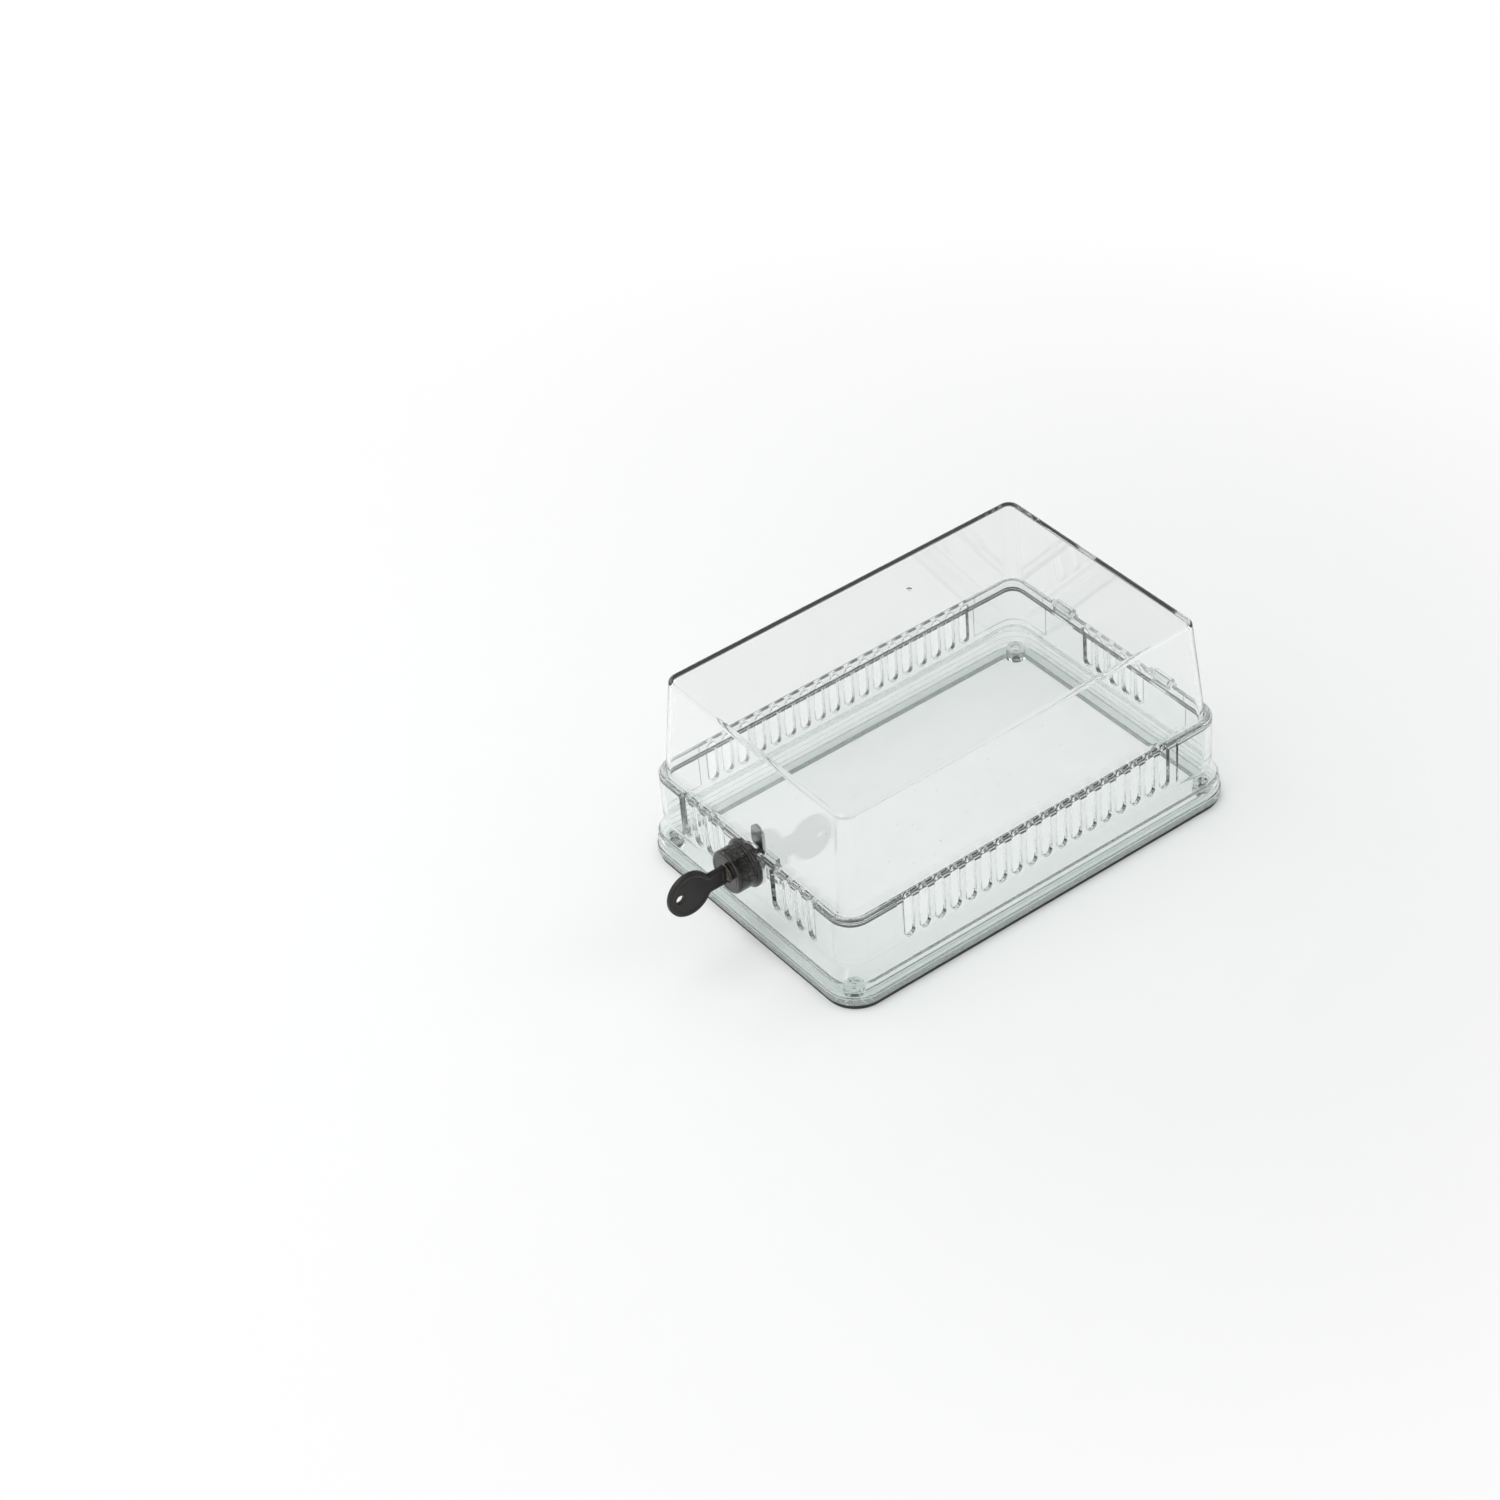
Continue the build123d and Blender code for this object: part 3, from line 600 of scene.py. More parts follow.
def to_object(name, mesh_maker, finish=None):
    """Turns the loose mesh into an object with outward normals."""
    bmesh.ops.remove_doubles(mesh_maker, verts=mesh_maker.verts, dist=1e-7)
    bmesh.ops.recalc_face_normals(mesh_maker, faces=mesh_maker.faces)
    mesh = bpy.data.meshes.new(name)
    mesh_maker.to_mesh(mesh)
    mesh_maker.free()
    piece = bpy.data.objects.new(name, mesh)
    bpy.context.scene.collection.objects.link(piece)
    if finish is not None:
        mesh.materials.append(finish)
    return piece


def carve(piece, tool, operation):
    """A boolean of two closed solids, applied at once. The tool is used up."""
    step = piece.modifiers.new("carve", "BOOLEAN")
    step.operation, step.solver, step.object = operation, "EXACT", tool
    graph = bpy.context.evaluated_depsgraph_get()
    carved = bpy.data.meshes.new_from_object(piece.evaluated_get(graph))
    piece.modifiers.clear()
    piece.data = carved
    bpy.data.objects.remove(tool)


def smooth_faces(piece, angle=32):
    """Smooth shading that stays crisp past the angle, with flat faces kept flat."""
    for face in piece.data.polygons:
        face.use_smooth = True
    piece.data.set_sharp_from_angle(angle=math.radians(angle))
    weights = piece.modifiers.new("flat_faces_stay_flat", "WEIGHTED_NORMAL")
    weights.keep_sharp = True
    weights.weight = 100


print("solid helpers ready")

# %% [markdown]
# ## The base ring's wall
# The ring is one section carried round the rectangle: a foot with three fine ledges, a flare, an
# upright band, and a thin lip. Its section is drawn as how far each point stands outside the rim's
# outline and how high it is, so the corners swell and shrink with it as a moulded wall does.

# %% Ring wall
RIM_HALF_X, RIM_HALF_Y, RIM_CORNER, RIM_HEIGHT = 115.3, 77.0, 12.0, 52.0
ring_section = round_section([
    (5.3, 2.5, 1.0), (5.3, 6.5, 0.5), (4.7, 6.5, 0.1), (4.7, 10.5, 0.5), (4.1, 10.5, 0.1),
    (4.1, 14.5, 1.6), (0.0, 21.5, 2.5), (0.0, RIM_HEIGHT, 0.9), (-2.5, RIM_HEIGHT, 0.9),
    (-2.5, 21.5, 2.0), (1.6, 14.5, 1.6), (1.6, 5.5, 1.2), (-3.5, 5.5, 1.1), (-3.5, 2.5, 0.4)])


def carry_round(section):
    """A wall section carried round the rim's outline."""
    shape = bmesh.new()
    skin(shape, [rounded_loop(RIM_HALF_X + out, RIM_HALF_Y + out, RIM_CORNER + out, up)
                 for out, up in section], closed=True)
    return shape


base_ring = to_object("base_ring_clear", carry_round(ring_section), ring_clear)
print("ring faces:", len(base_ring.data.polygons))

# %% [markdown]
# ## Vent slots
# Air reaches the thermostat through tall slots with round ends. Each is cut by a plug whose ends
# flare where they meet the wall's faces, so the cut leaves a rounded rim of its own. The slots
# keep the CAD model's pitch, and skip the lock, the hinge hooks and the plain corners.

# %% Slot cutters
SLOT_WIDTH, SLOT_BOTTOM, SLOT_TOP, SLOT_PITCH = 5.5, 25.0, 50.0, 9.3
WALL, SLOT_ROUND, PAST_WALL = 2.5, 0.4, 0.8


def slot_outline(growth, steps=8):
    """A tall slot's outline as (across, up) pairs about its middle line."""
    radius = SLOT_WIDTH / 2
    rows = []
    for middle, start in ((SLOT_TOP - radius, 0), (SLOT_BOTTOM + radius, 180)):
        for angle in arc(start, start + 180, steps):
            rows.append(((radius + growth) * math.cos(angle),
                         middle + (radius + growth) * math.sin(angle)))
    return rows


def slot_plug(shape, place, along_x, side):
    """Adds one slot's cutting plug. place is the slot's middle, side is +1 or -1 for the wall."""
    outer = RIM_HALF_Y if along_x else RIM_HALF_X
    flare = [(SLOT_ROUND * (1 - math.cos(angle)), SLOT_ROUND * (1 - math.sin(angle)))
             for angle in arc(0, 90, 3)]
    depths = [(outer + PAST_WALL, SLOT_ROUND)]
    depths += [(outer - depth, growth) for depth, growth in flare]
    depths += [(outer - WALL + depth, growth) for depth, growth in reversed(flare)]
    depths.append((outer - WALL - PAST_WALL, SLOT_ROUND))
    loops = []
    for depth, growth in depths:
        if along_x:
            loops.append([point(place + u, side * depth, v) for u, v in slot_outline(growth)])
        else:
            loops.append([point(side * depth, place + u, v) for u, v in slot_outline(growth)])
    capped(shape, loops)


long_side_slots = [(i - 8.5) * SLOT_PITCH for i in range(18)]
lock_end_slots = [49.25 - i * SLOT_PITCH for i in range(4)]
hinge_end_slots = [i * SLOT_PITCH for i in (-2, -1, 0, 1, 2)]
slot_tools = bmesh.new()
for place in long_side_slots:
    slot_plug(slot_tools, place, True, 1)
    slot_plug(slot_tools, place, True, -1)
for place in lock_end_slots:
    slot_plug(slot_tools, place, False, -1)
    slot_plug(slot_tools, -place, False, -1)
for place in hinge_end_slots:
    slot_plug(slot_tools, place, False, 1)
slot_tools = to_object("slot_tools", slot_tools)
print("slots:", 2 * len(long_side_slots) + 2 * len(lock_end_slots) + len(hinge_end_slots))

# %% [markdown]
# ## Corner pads
# Each plain corner carries a slightly raised pad, which stiffens it between the rows of slots. A
# small section is carried along one side, round the corner and along the next side, and it swells
# from nothing at both ends. The pads join the wall before anything is cut.

# %% Corner pads
PAD_X, PAD_Y, PAD_BOTTOM, PAD_TOP, PAD_OUT = 86.3, 52.0, 25.0, 50.5, 0.8
PAD_ENDS = ((0, 0.1), (0.15, 0.7), (0.45, 1.0))     # how far in, and the share of the full height


def corner_pad(shape, sign_x, sign_y):
    """One raised pad that wraps a plain corner, with soft ends and edges."""
    section = round_section([(-1.0, PAD_BOTTOM, 0), (PAD_OUT, PAD_BOTTOM, 0.5),
                             (PAD_OUT, PAD_TOP, 0.5), (-1.0, PAD_TOP, 0)])
    stations = [(PAD_X + inwards, RIM_HALF_Y, 0, 1, full) for inwards, full in PAD_ENDS]
    middle_x, middle_y = RIM_HALF_X - RIM_CORNER, RIM_HALF_Y - RIM_CORNER
    for angle in arc(90, 0, CORNER_STEPS):
        across, along = math.cos(angle), math.sin(angle)
        stations.append((middle_x + RIM_CORNER * across, middle_y + RIM_CORNER * along,
                         across, along, 1.0))
    stations += [(RIM_HALF_X, PAD_Y + inwards, 1, 0, full) for inwards, full in reversed(PAD_ENDS)]
    capped(shape, [[point(sign_x * (x + nx * out * (full if out > 0 else 1)),
                          sign_y * (y + ny * out * (full if out > 0 else 1)), up)
                    for out, up in section] for x, y, nx, ny, full in stations])


pads = bmesh.new()
for sign_x in (-1, 1):
    for sign_y in (-1, 1):
        corner_pad(pads, sign_x, sign_y)
carve(base_ring, to_object("pads", pads), "UNION")
print("ring faces with pads:", len(base_ring.data.polygons))

# %% [markdown]
# ## A lathe and a saw
# Bosses, screws, washers and the lock's head are all turned: a profile is carried round an axis,
# as on a lathe. One helper turns a profile about any axis, and can cut a screw thread by letting
# the radius wind as it goes round. Straight pieces, such as the nut's blank and the notches, are
# an outline pushed along an axis, as if sawn from a bar.

# %% A lathe and a saw
AXES = {"X": ((0, 1, 0), (0, 0, 1)), "Y": ((0, 0, 1), (1, 0, 0)), "Z": ((1, 0, 0), (0, 1, 0))}


def turned(shape, profile, centre, axis, steps=48, thread=None):
    """Carries (along, radius) rows round an axis through centre. All in millimetres.

    thread is (start, end, pitch, depth) for a thread cut between two places along the axis.
    """
    side, other = (Vector(way) for way in AXES[axis])
    ahead = side.cross(other)
    loops = []
    for along, radius in profile:
        loop = []
        for i in range(steps):
            turn = i / steps
            r = radius
            if thread and thread[0] < along < thread[1] and radius > 0:
                phase = ((along - thread[0]) / thread[2] - turn) % 1.0
                fade = min(1.0, (along - thread[0]) / 0.6, (thread[1] - along) / 0.4)
                r -= thread[3] * fade * (1 - abs(2 * phase - 1))
            angle = 2 * math.pi * turn
            spot = side * math.cos(angle) * r + other * math.sin(angle) * r + ahead * along
            loop.append((Vector(centre) + spot) * MM)
        loops.append(loop)
    skin(shape, loops, closed=profile[0][1] > 0 and profile[-1][1] > 0)


def turned_piece(name, profile, centre, axis, finish=None, steps=48, thread=None):
    """A turned object of its own."""
    shape = bmesh.new()
    turned(shape, profile, centre, axis, steps, thread)
    return to_object(name, shape, finish)


def disc(start, end, radius):
    """The profile of a plain round plug."""
    return [(start, 0), (start, radius), (end, radius), (end, 0)]


def prism(shape, outline, start, end, axis):
    """A straight piece. outline holds (a, b) pairs across the axis. Returns its end faces."""
    def place(a, b, along):
        return point(*{"X": (along, a, b), "Y": (a, along, b), "Z": (a, b, along)}[axis])
    return capped(shape, [[place(a, b, along) for a, b in outline] for along in (start, end)])


def block(name, low, high, start, end):
    """A plain rectangular tool along X, from low to high in Y and Z."""
    shape = bmesh.new()
    prism(shape, [low, (high[0], low[1]), high, (low[0], high[1])], start, end, "X")
    return to_object(name, shape)


print("lathe and saw ready")

# %% [markdown]
# ## Bosses, slots and holes
# A round boss in each corner takes a wall screw, so the bosses join the wall. Then all the slots
# are cut, and last the screw holes with their countersinks and the hole for the lock.

# %% Bosses, slots and holes
SCREW_X, SCREW_Y = 109.028, 70.728
WALL_FACE_X, WALL_BACK_X = -115.3, -112.8
LOCK_Z, LOCK_HOLE_RADIUS = 41.5, 6.55
LOCK_AXIS = (0, 0, LOCK_Z)
BOSS = [(2.5, 0), (2.5, 5.0), (8.6, 5.0), (8.88, 4.88), (9.0, 4.6), (9.0, 0)]
SCREW_HOLE = [(1.5, 0), (1.5, 2.2), (8.5, 2.2), (9.0, 2.7), (9.5, 3.2), (9.5, 0)]


def at_each_screw(profile, steps):
    """The profile turned at all four screws, in one mesh."""
    shape = bmesh.new()
    for x in (-SCREW_X, SCREW_X):
        for y in (-SCREW_Y, SCREW_Y):
            turned(shape, profile, (x, y, 0), "Z", steps=steps)
    return shape


carve(base_ring, to_object("bosses", at_each_screw(BOSS, 40)), "UNION")
carve(base_ring, slot_tools, "DIFFERENCE")
holes = at_each_screw(SCREW_HOLE, 32)
turned(holes, disc(WALL_FACE_X - 1, WALL_BACK_X + 1, LOCK_HOLE_RADIUS), LOCK_AXIS, "X")
carve(base_ring, to_object("holes", holes), "DIFFERENCE")
print("ring faces with slots and holes:", len(base_ring.data.polygons))

# %% [markdown]
# ## Rim notches and the seat ledge
# Two notches in the rim let the cover's hooks drop in. A narrow ledge inside the rim carries the
# cover. It joins last, because the slots pass behind it and must not cut it, and it is first cut
# away where the lock's nut and the catch need room.

# %% Notches and ledge
BAR_X, BAR_Z, BAR_Y = 114.5, 51.2, 36.0
NOTCH_HALF, NOTCH_BOTTOM, NOTCH_TOP = 6.5, 47.64, 54
NUT_ROOM_RADIUS, NUT_ROOM_END = 9.35, -108.0


def notch_tool():
    """The two openings in the rim that the cover's hooks drop into."""
    shape = bmesh.new()
    for y in (-BAR_Y, BAR_Y):
        near, far = y - NOTCH_HALF, y + NOTCH_HALF
        prism(shape, round_section([(near, NOTCH_TOP, 0), (near, NOTCH_BOTTOM, 0.8),
                                    (far, NOTCH_BOTTOM, 0.8), (far, NOTCH_TOP, 0)]),
              108.9, 117.0, "X")
    return to_object("notch_tool", shape)


def nut_room(start):
    """The round room that the lock's nut needs, from start inwards."""
    return turned_piece("nut_room", disc(start, NUT_ROOM_END, NUT_ROOM_RADIUS), LOCK_AXIS, "X",
                        steps=64)


carve(base_ring, notch_tool(), "DIFFERENCE")
ledge = to_object("ledge", carry_round(round_section(
    [(-2.3, 46.5, 0), (-2.3, 48.0, 0), (-5.6, 48.0, 0.3), (-5.6, 46.5, 0.3)])))
carve(ledge, nut_room(WALL_BACK_X), "DIFFERENCE")
carve(ledge, block("catch_room", (-19.0, 45.5), (-9.5, 49.0), -113.5, -108.0), "DIFFERENCE")
carve(ledge, notch_tool(), "DIFFERENCE")
carve(base_ring, ledge, "UNION")
print("ring faces after cutting:", len(base_ring.data.polygons))

# %% [markdown]
# ## Hinge bars
# Each hook of the cover turns on a round bar that crosses a notch in the rim. The bar's ends are
# thicker where they run into the wall. They are turned about the guard's Y axis and joined on.

# %% Hinge bars
HALF_BAR = [(9.0, 0), (9.0, 1.6), (8.75, 1.85), (6.7, 1.85), (6.5, 1.65), (6.4, 1.5)]
bar_profile = [(-along, radius) for along, radius in HALF_BAR] + HALF_BAR[::-1]
bars = bmesh.new()
for y in (-BAR_Y, BAR_Y):
    turned(bars, bar_profile, (BAR_X, y, BAR_Z), "Y", steps=32)
carve(base_ring, to_object("bars", bars), "UNION")
smooth_faces(base_ring)
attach(base_ring, "base")
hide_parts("base_ring")
print("finished ring faces:", len(base_ring.data.polygons))

# %% [markdown]
# ## The cover
# The cover is a shallow tub turned upside down. Its walls lean in towards the front so that it
# comes off its mould. The outside and the inside are skinned as one closed solid, 2.5 mm thick,
# because clear plastic only looks right when light can enter one face and leave by another.

# %% Cover shell
COVER_HALF_X, COVER_HALF_Y, COVER_CORNER, COVER_TOP = 112.4, 74.1, 9.1, 107.0
COVER_LEAN, CORNER_LEAN = 5.1, 2.6      # how much the outline and its corners shrink by the top
OUTER_ROUND, INNER_ROUND = 1.6, 1.0     # the front's rounded edge, outside and inside


def cover_loop(inset, height):
    """The cover's outline at a height, moved in by inset."""
    share = max(0.0, (height - RIM_HEIGHT) / (COVER_TOP - RIM_HEIGHT))
    return rounded_loop(COVER_HALF_X - COVER_LEAN * share - inset,
                        COVER_HALF_Y - COVER_LEAN * share - inset,
                        COVER_CORNER - CORNER_LEAN * share - inset, height, steps=18)


cover_rows = [(OUTER_ROUND * (1 - math.cos(angle)),
               COVER_TOP - OUTER_ROUND + OUTER_ROUND * math.sin(angle)) for angle in arc(90, 0, 8)]
cover_rows += [(0, 52.6), (0, 51.6), (0, 48.35), (0.1, 48.1), (0.35, 48.0),
               (2.15, 48.0), (2.4, 48.1), (2.5, 48.35), (2.5, 51.6), (2.5, 52.6)]
cover_rows += [(WALL + INNER_ROUND * (1 - math.cos(angle)),
                COVER_TOP - WALL - INNER_ROUND + INNER_ROUND * math.sin(angle))
               for angle in arc(0, 90, 6)]
shape = bmesh.new()
capped(shape, [cover_loop(inset, height) for inset, height in cover_rows])
cover = to_object("cover_clear", shape, cover_clear)
carve(cover, nut_room(WALL_FACE_X), "DIFFERENCE")
print("cover faces:", len(cover.data.polygons))

# %% [markdown]
# ## Hinge hooks
# Two hooks on the cover's edge reach over the bars and down behind them. Each is a C-shaped
# outline with thickness, and its end faces get a small bevel so that the hooks catch light. The
# small round mark that the mould's gate leaves on the front is cut last.

# %% Hinge hooks and gate mark
HOOK_HALF = 6.0
GATE_PLACE = (22.7, 44.2, 0)
GATE_MARK = [(106.65, 0), (106.65, 0.35), (106.8, 0.45), (106.8, 0.8), (106.7, 1.0),
             (106.85, 1.25), (107.05, 1.5), (107.5, 1.7), (107.5, 0)]


def hook_outline(outer=3.06, inner=1.56, tip=0.9, steps=20):
    """The C round the bar, from the cover's wall over the top and down to the tip."""
    outline = []
    last = math.acos(tip / outer)
    for i in range(steps + 1):
        angle = math.pi - (math.pi + last) * i / steps
        outline.append((BAR_X + outer * math.cos(angle), BAR_Z + outer * math.sin(angle)))
    last = math.acos(tip / inner)
    for i in range(steps + 1):
        angle = -last + (math.pi + last) * i / steps
        outline.append((BAR_X + inner * math.cos(angle), BAR_Z + inner * math.sin(angle)))
    return outline


shape = bmesh.new()
for y in (-BAR_Y, BAR_Y):
    ends = prism(shape, hook_outline(), y - HOOK_HALF, y + HOOK_HALF, "Y")
    round_ends(shape, ends, 0.22)
carve(cover, to_object("hooks", shape), "UNION")
carve(cover, turned_piece("gate_tool", GATE_MARK, GATE_PLACE, "Z", steps=24), "DIFFERENCE")
smooth_faces(cover)
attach(cover, "cover")
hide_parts("cover")
print("finished cover faces:", len(cover.data.polygons))

# %% [markdown]
# ## The catch
# A small L-shaped strike is bonded inside the cover's skirt. When the key turns, the lock's cam
# swings over its foot. It is a prism with every edge rounded.

# %% Catch
CATCH_NEAR, CATCH_FAR = 10.0, 18.5
shape = bmesh.new()
catch_outline = round_section([(-109.9, 52.0, 0.3), (-107.5, 52.0, 0.3), (-107.5, 36.6, 0.5),
                               (-105.0, 36.6, 0.4), (-105.0, 34.2, 0.4), (-109.9, 34.2, 0.4)])
round_ends(shape, prism(shape, catch_outline, -CATCH_FAR, -CATCH_NEAR, "Y"), 0.25)
catch = to_object("catch_clear", shape, ring_clear)
smooth_faces(catch)
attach(catch, "cover")
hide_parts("catch")
print("catch faces:", len(catch.data.polygons))

# %% [markdown]
# ## The lock
# The cam lock is a turned head with a rounded face, a collar behind it, and a threaded shank that
# passes through the ring's wall. All are lathe work. The face has a shallow ring and the bore a
# small chamfer, since those lines are what the eye reads on a black cylinder.

# %% Lock head and shank
HEAD_RADIUS, HEAD_ROUND, COLLAR_RADIUS = 11.3, 1.4, 12.8
head_profile = [(-107.2, 4.55), (-127.3, 4.55), (-127.55, 4.65), (-127.8, 5.0), (-127.8, 5.4),
                (-127.8, 8.2), (-127.62, 8.35), (-127.62, 8.75), (-127.8, 8.9)]
head_profile += [(-126.4 - HEAD_ROUND * math.cos(angle),
                  HEAD_RADIUS - HEAD_ROUND + HEAD_ROUND * math.sin(angle))
                 for angle in arc(0, 90, 6)]
head_profile += [(along, HEAD_RADIUS - dip) for along, dip in (
    (-119.3, 0), (-119.15, 0.12), (-118.95, 0.4), (-118.6, 0.4), (-118.4, 0.12), (-118.25, 0),
    (-117.8, 0))]
head_profile += [(-117.8, 6.25), (-115.2, 6.25), (-112.6, 6.25)]
head_profile += [(-112.5 + 0.1 * i, 6.25) for i in range(52)]
head_profile += [(-107.25, 6.1), (-107.2, 5.9)]
lock_body = turned_piece("lock_body_black", head_profile, LOCK_AXIS, "X", lock_black, steps=96,
                         thread=(-112.0, -107.1, 1.0, 0.5))
lock_trim = turned_piece("lock_collar_black", [
    (-117.8, 6.6), (-117.8, COLLAR_RADIUS - 1.1), (-117.75, COLLAR_RADIUS - 0.85),
    (-117.6, COLLAR_RADIUS - 0.6), (-117.2, COLLAR_RADIUS - 0.2), (-117.0, COLLAR_RADIUS - 0.08),
    (-116.75, COLLAR_RADIUS), (-115.5, COLLAR_RADIUS), (-115.3, COLLAR_RADIUS - 0.2),
    (-115.3, 6.6)], LOCK_AXIS, "X", lock_black, steps=96)
for piece, node in ((lock_body, "lock_body"), (lock_trim, "lock_trim")):
    smooth_faces(piece)
    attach(piece, "base")
    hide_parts(node)
print("lock faces:", len(lock_body.data.polygons) + len(lock_trim.data.polygons))

# %% [markdown]
# ## Washer and nut
# Behind the wall a washer and a hexagon nut hold the lock. A real nut's corners are turned off on
# both faces, which leaves its curved chamfer lines. The same is done here: a hexagonal prism is
# intersected with a turned blank whose edges are cut at thirty degrees.

# %% Washer and nut
NUT_FLATS = 15.5
washer = turned_piece("lock_washer_steel", [
    (-112.8, 6.5), (-112.8, 7.85), (-112.7, 8.0), (-112.1, 8.0), (-112.0, 7.85), (-112.0, 6.5)],
    LOCK_AXIS, "X", zinc_steel, steps=64)
nut_corner = NUT_FLATS / math.sqrt(3)
hexagon = [(nut_corner * math.cos(angle), LOCK_Z + nut_corner * math.sin(angle))
           for angle in arc(0, 300, 5)]
shape = bmesh.new()
prism(shape, hexagon, -112.0, -109.0, "X")
nut = to_object("lock_nut_steel", shape, zinc_steel)
nut_blank = turned_piece("nut_blank", [
    (-112.0, 6.3), (-112.0, 7.6), (-111.25, 8.9), (-111.25, 9.4), (-109.75, 9.4), (-109.75, 8.9),
    (-109.0, 7.6), (-109.0, 6.3)], LOCK_AXIS, "X", steps=96)
carve(nut, nut_blank, "INTERSECT")
for piece, node in ((washer, "lock_washer"), (nut, "lock_nut")):
    smooth_faces(piece, 25)
    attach(piece, "base")
    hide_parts(node)
print("nut faces:", len(nut.data.polygons))

# %% [markdown]
# ## Cam washer and screw
# The cam is held on the plug's square tail by a washer and a small pan-head screw. The screw's
# head is a turned dome, and two crossed prisms cut its driver recess.

# %% Cam washer and screw
cam_washer = turned_piece("cam_washer_steel", [
    (-105.4, 1.6), (-105.4, 4.5), (-105.3, 4.6), (-105.0, 4.6), (-104.9, 4.5), (-104.9, 1.6)],
    LOCK_AXIS, "X", zinc_steel, steps=48)
cam_screw = turned_piece("cam_screw_steel", [
    (-109.9, 0), (-109.9, 1.1), (-109.6, 1.4), (-104.9, 1.4), (-104.9, 3.5), (-104.8, 3.6),
    (-104.3, 3.6), (-103.85, 3.3), (-103.5, 2.6), (-103.35, 1.6), (-103.3, 0)],
    LOCK_AXIS, "X", zinc_steel, steps=40)
for name, half_y, half_z in (("recess_across", 1.7, 0.3), ("recess_up", 0.3, 1.7)):
    recess = block(name, (-half_y, LOCK_Z - half_z), (half_y, LOCK_Z + half_z), -104.2, -103.0)
    carve(cam_screw, recess, "DIFFERENCE")
for piece, node in ((cam_washer, "cam_washer"), (cam_screw, "cam_screw")):
    smooth_faces(piece)
    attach(piece, "plug")
    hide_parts(node)
print("screw faces:", len(cam_screw.data.polygons))

# %% [markdown]
# ## The key's head
# The key's head is a plastic disc with a short neck, moulded over the blade. Its outline is a
# circle run into a straight neck by two small fillets. Successive outlines, moved in a little at a
# time, give the rounded edge and then the shallow recess in each face.

# %% Key head
BOW_X, BOW_RADIUS, NECK_HALF, SHOULDER_X, BOW_FILLET = -149.3, 12.2, 5.2, -128.1, 2.5
KEY_HOLE_X, KEY_HOLE_RADIUS = -154.9, 2.2


def key_outline(inset):
    """The key head's outline in the XZ plane, moved in by inset."""
    radius, neck, fillet = BOW_RADIUS - inset, NECK_HALF - inset, BOW_FILLET + inset
    shoulder = SHOULDER_X - inset
    join = BOW_X + math.sqrt((radius + fillet) ** 2 - (neck + fillet) ** 2)
    lean = math.atan2(neck + fillet, join - BOW_X)
    nose = max(0.9 - inset, 0.15)
    half = []
    for angle in arc(0, 90, 4):
        half.append((shoulder - nose + nose * math.cos(angle),
                     neck - nose + nose * math.sin(angle)))
    for i in range(7):
        angle = -math.pi / 2 - (math.pi / 2 - lean) * i / 6
        half.append((join + fillet * math.cos(angle), neck + fillet + fillet * math.sin(angle)))
    for i in range(1, 31):
        angle = lean + (math.pi - lean) * i / 31
        half.append((BOW_X + radius * math.cos(angle), radius * math.sin(angle)))
    mirrored = [(x, -up) for x, up in reversed(half)]
    return [(x, LOCK_Z + up) for x, up in half + [(BOW_X - radius, 0)] + mirrored]


def key_loop(inset, out):
    """The outline as a loop of points, out from the key's middle plane."""
    return [point(x, out, up) for x, up in key_outline(inset)]


EDGE = 0.9      # radius of the head's rounded edge
key_rows = [(2.9, -1.15), (2.6, -1.15), (2.25, -1.25), (2.0, -1.45), (1.75, -1.5), (EDGE, -1.5)]
key_rows += [(EDGE - EDGE * math.sin(angle), -1.5 + EDGE * (1 - math.cos(angle)))
             for angle in arc(0, 90, 6)[1:]]
key_rows += [(inset, -out) for inset, out in reversed(key_rows)]
shape = bmesh.new()
capped(shape, [key_loop(inset, out) for inset, out in key_rows])
key_head = to_object("key_head_black", shape, key_black)
half_bore = [(0.75, 0), (0.95, 0.1), (1.15, 0.4), (2.0, 0.7)]
bore = [(-2.0, 0)] + [(-along, KEY_HOLE_RADIUS + flare) for along, flare in reversed(half_bore)]
bore += [(along, KEY_HOLE_RADIUS + flare) for along, flare in half_bore] + [(2.0, 0)]
hole_tool = turned_piece("key_hole_tool", bore, (KEY_HOLE_X, 0, LOCK_Z), "Y", steps=32)
carve(key_head, hole_tool, "DIFFERENCE")
smooth_faces(key_head)
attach(key_head, "key")
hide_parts("key_bow")
print("key head faces:", len(key_head.data.polygons))

# %% [markdown]
# ## Wafer springs
# Each wafer in the plug is pushed by a tiny coil spring. A coil is a curve that winds, given
# thickness by the curve's own bevel, so it needs no mesh work at all.

# %% Wafer springs
WIRE_RADIUS, COIL_TURNS, COIL_STEPS = 0.09, 6, 16


def coil_spring(name, node):
    """A coil that fills its CAD node's box, standing along Z."""
    low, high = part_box(node)
    middle = (low + high) / 2
    wire = WIRE_RADIUS * MM
    radius = min(high.x - low.x, high.y - low.y) / 2 - wire
    last = COIL_TURNS * COIL_STEPS
    curve = bpy.data.curves.new(name, "CURVE")
    curve.dimensions = "3D"
    curve.bevel_depth, curve.bevel_resolution = wire, 2
    curve.use_fill_caps = True
    line = curve.splines.new("POLY")
    line.points.add(last)
    for i in range(last + 1):
        angle = 2 * math.pi * i / COIL_STEPS
        up = low.z + wire + (high.z - low.z - 2 * wire) * i / last
        line.points[i].co = (middle.x + radius * math.cos(angle),
                             middle.y + radius * math.sin(angle), up, 1)
    curve.materials.append(spring_wire)
    spring = bpy.data.objects.new(name, curve)
    bpy.context.scene.collection.objects.link(spring)
    return spring


for number in range(1, 6):
    spring = coil_spring(f"wafer_spring_coil_{number}", f"wafer_spring_{number}")
    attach(spring, "plug")
    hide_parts(f"wafer_spring_{number}")
print("springs: 5")

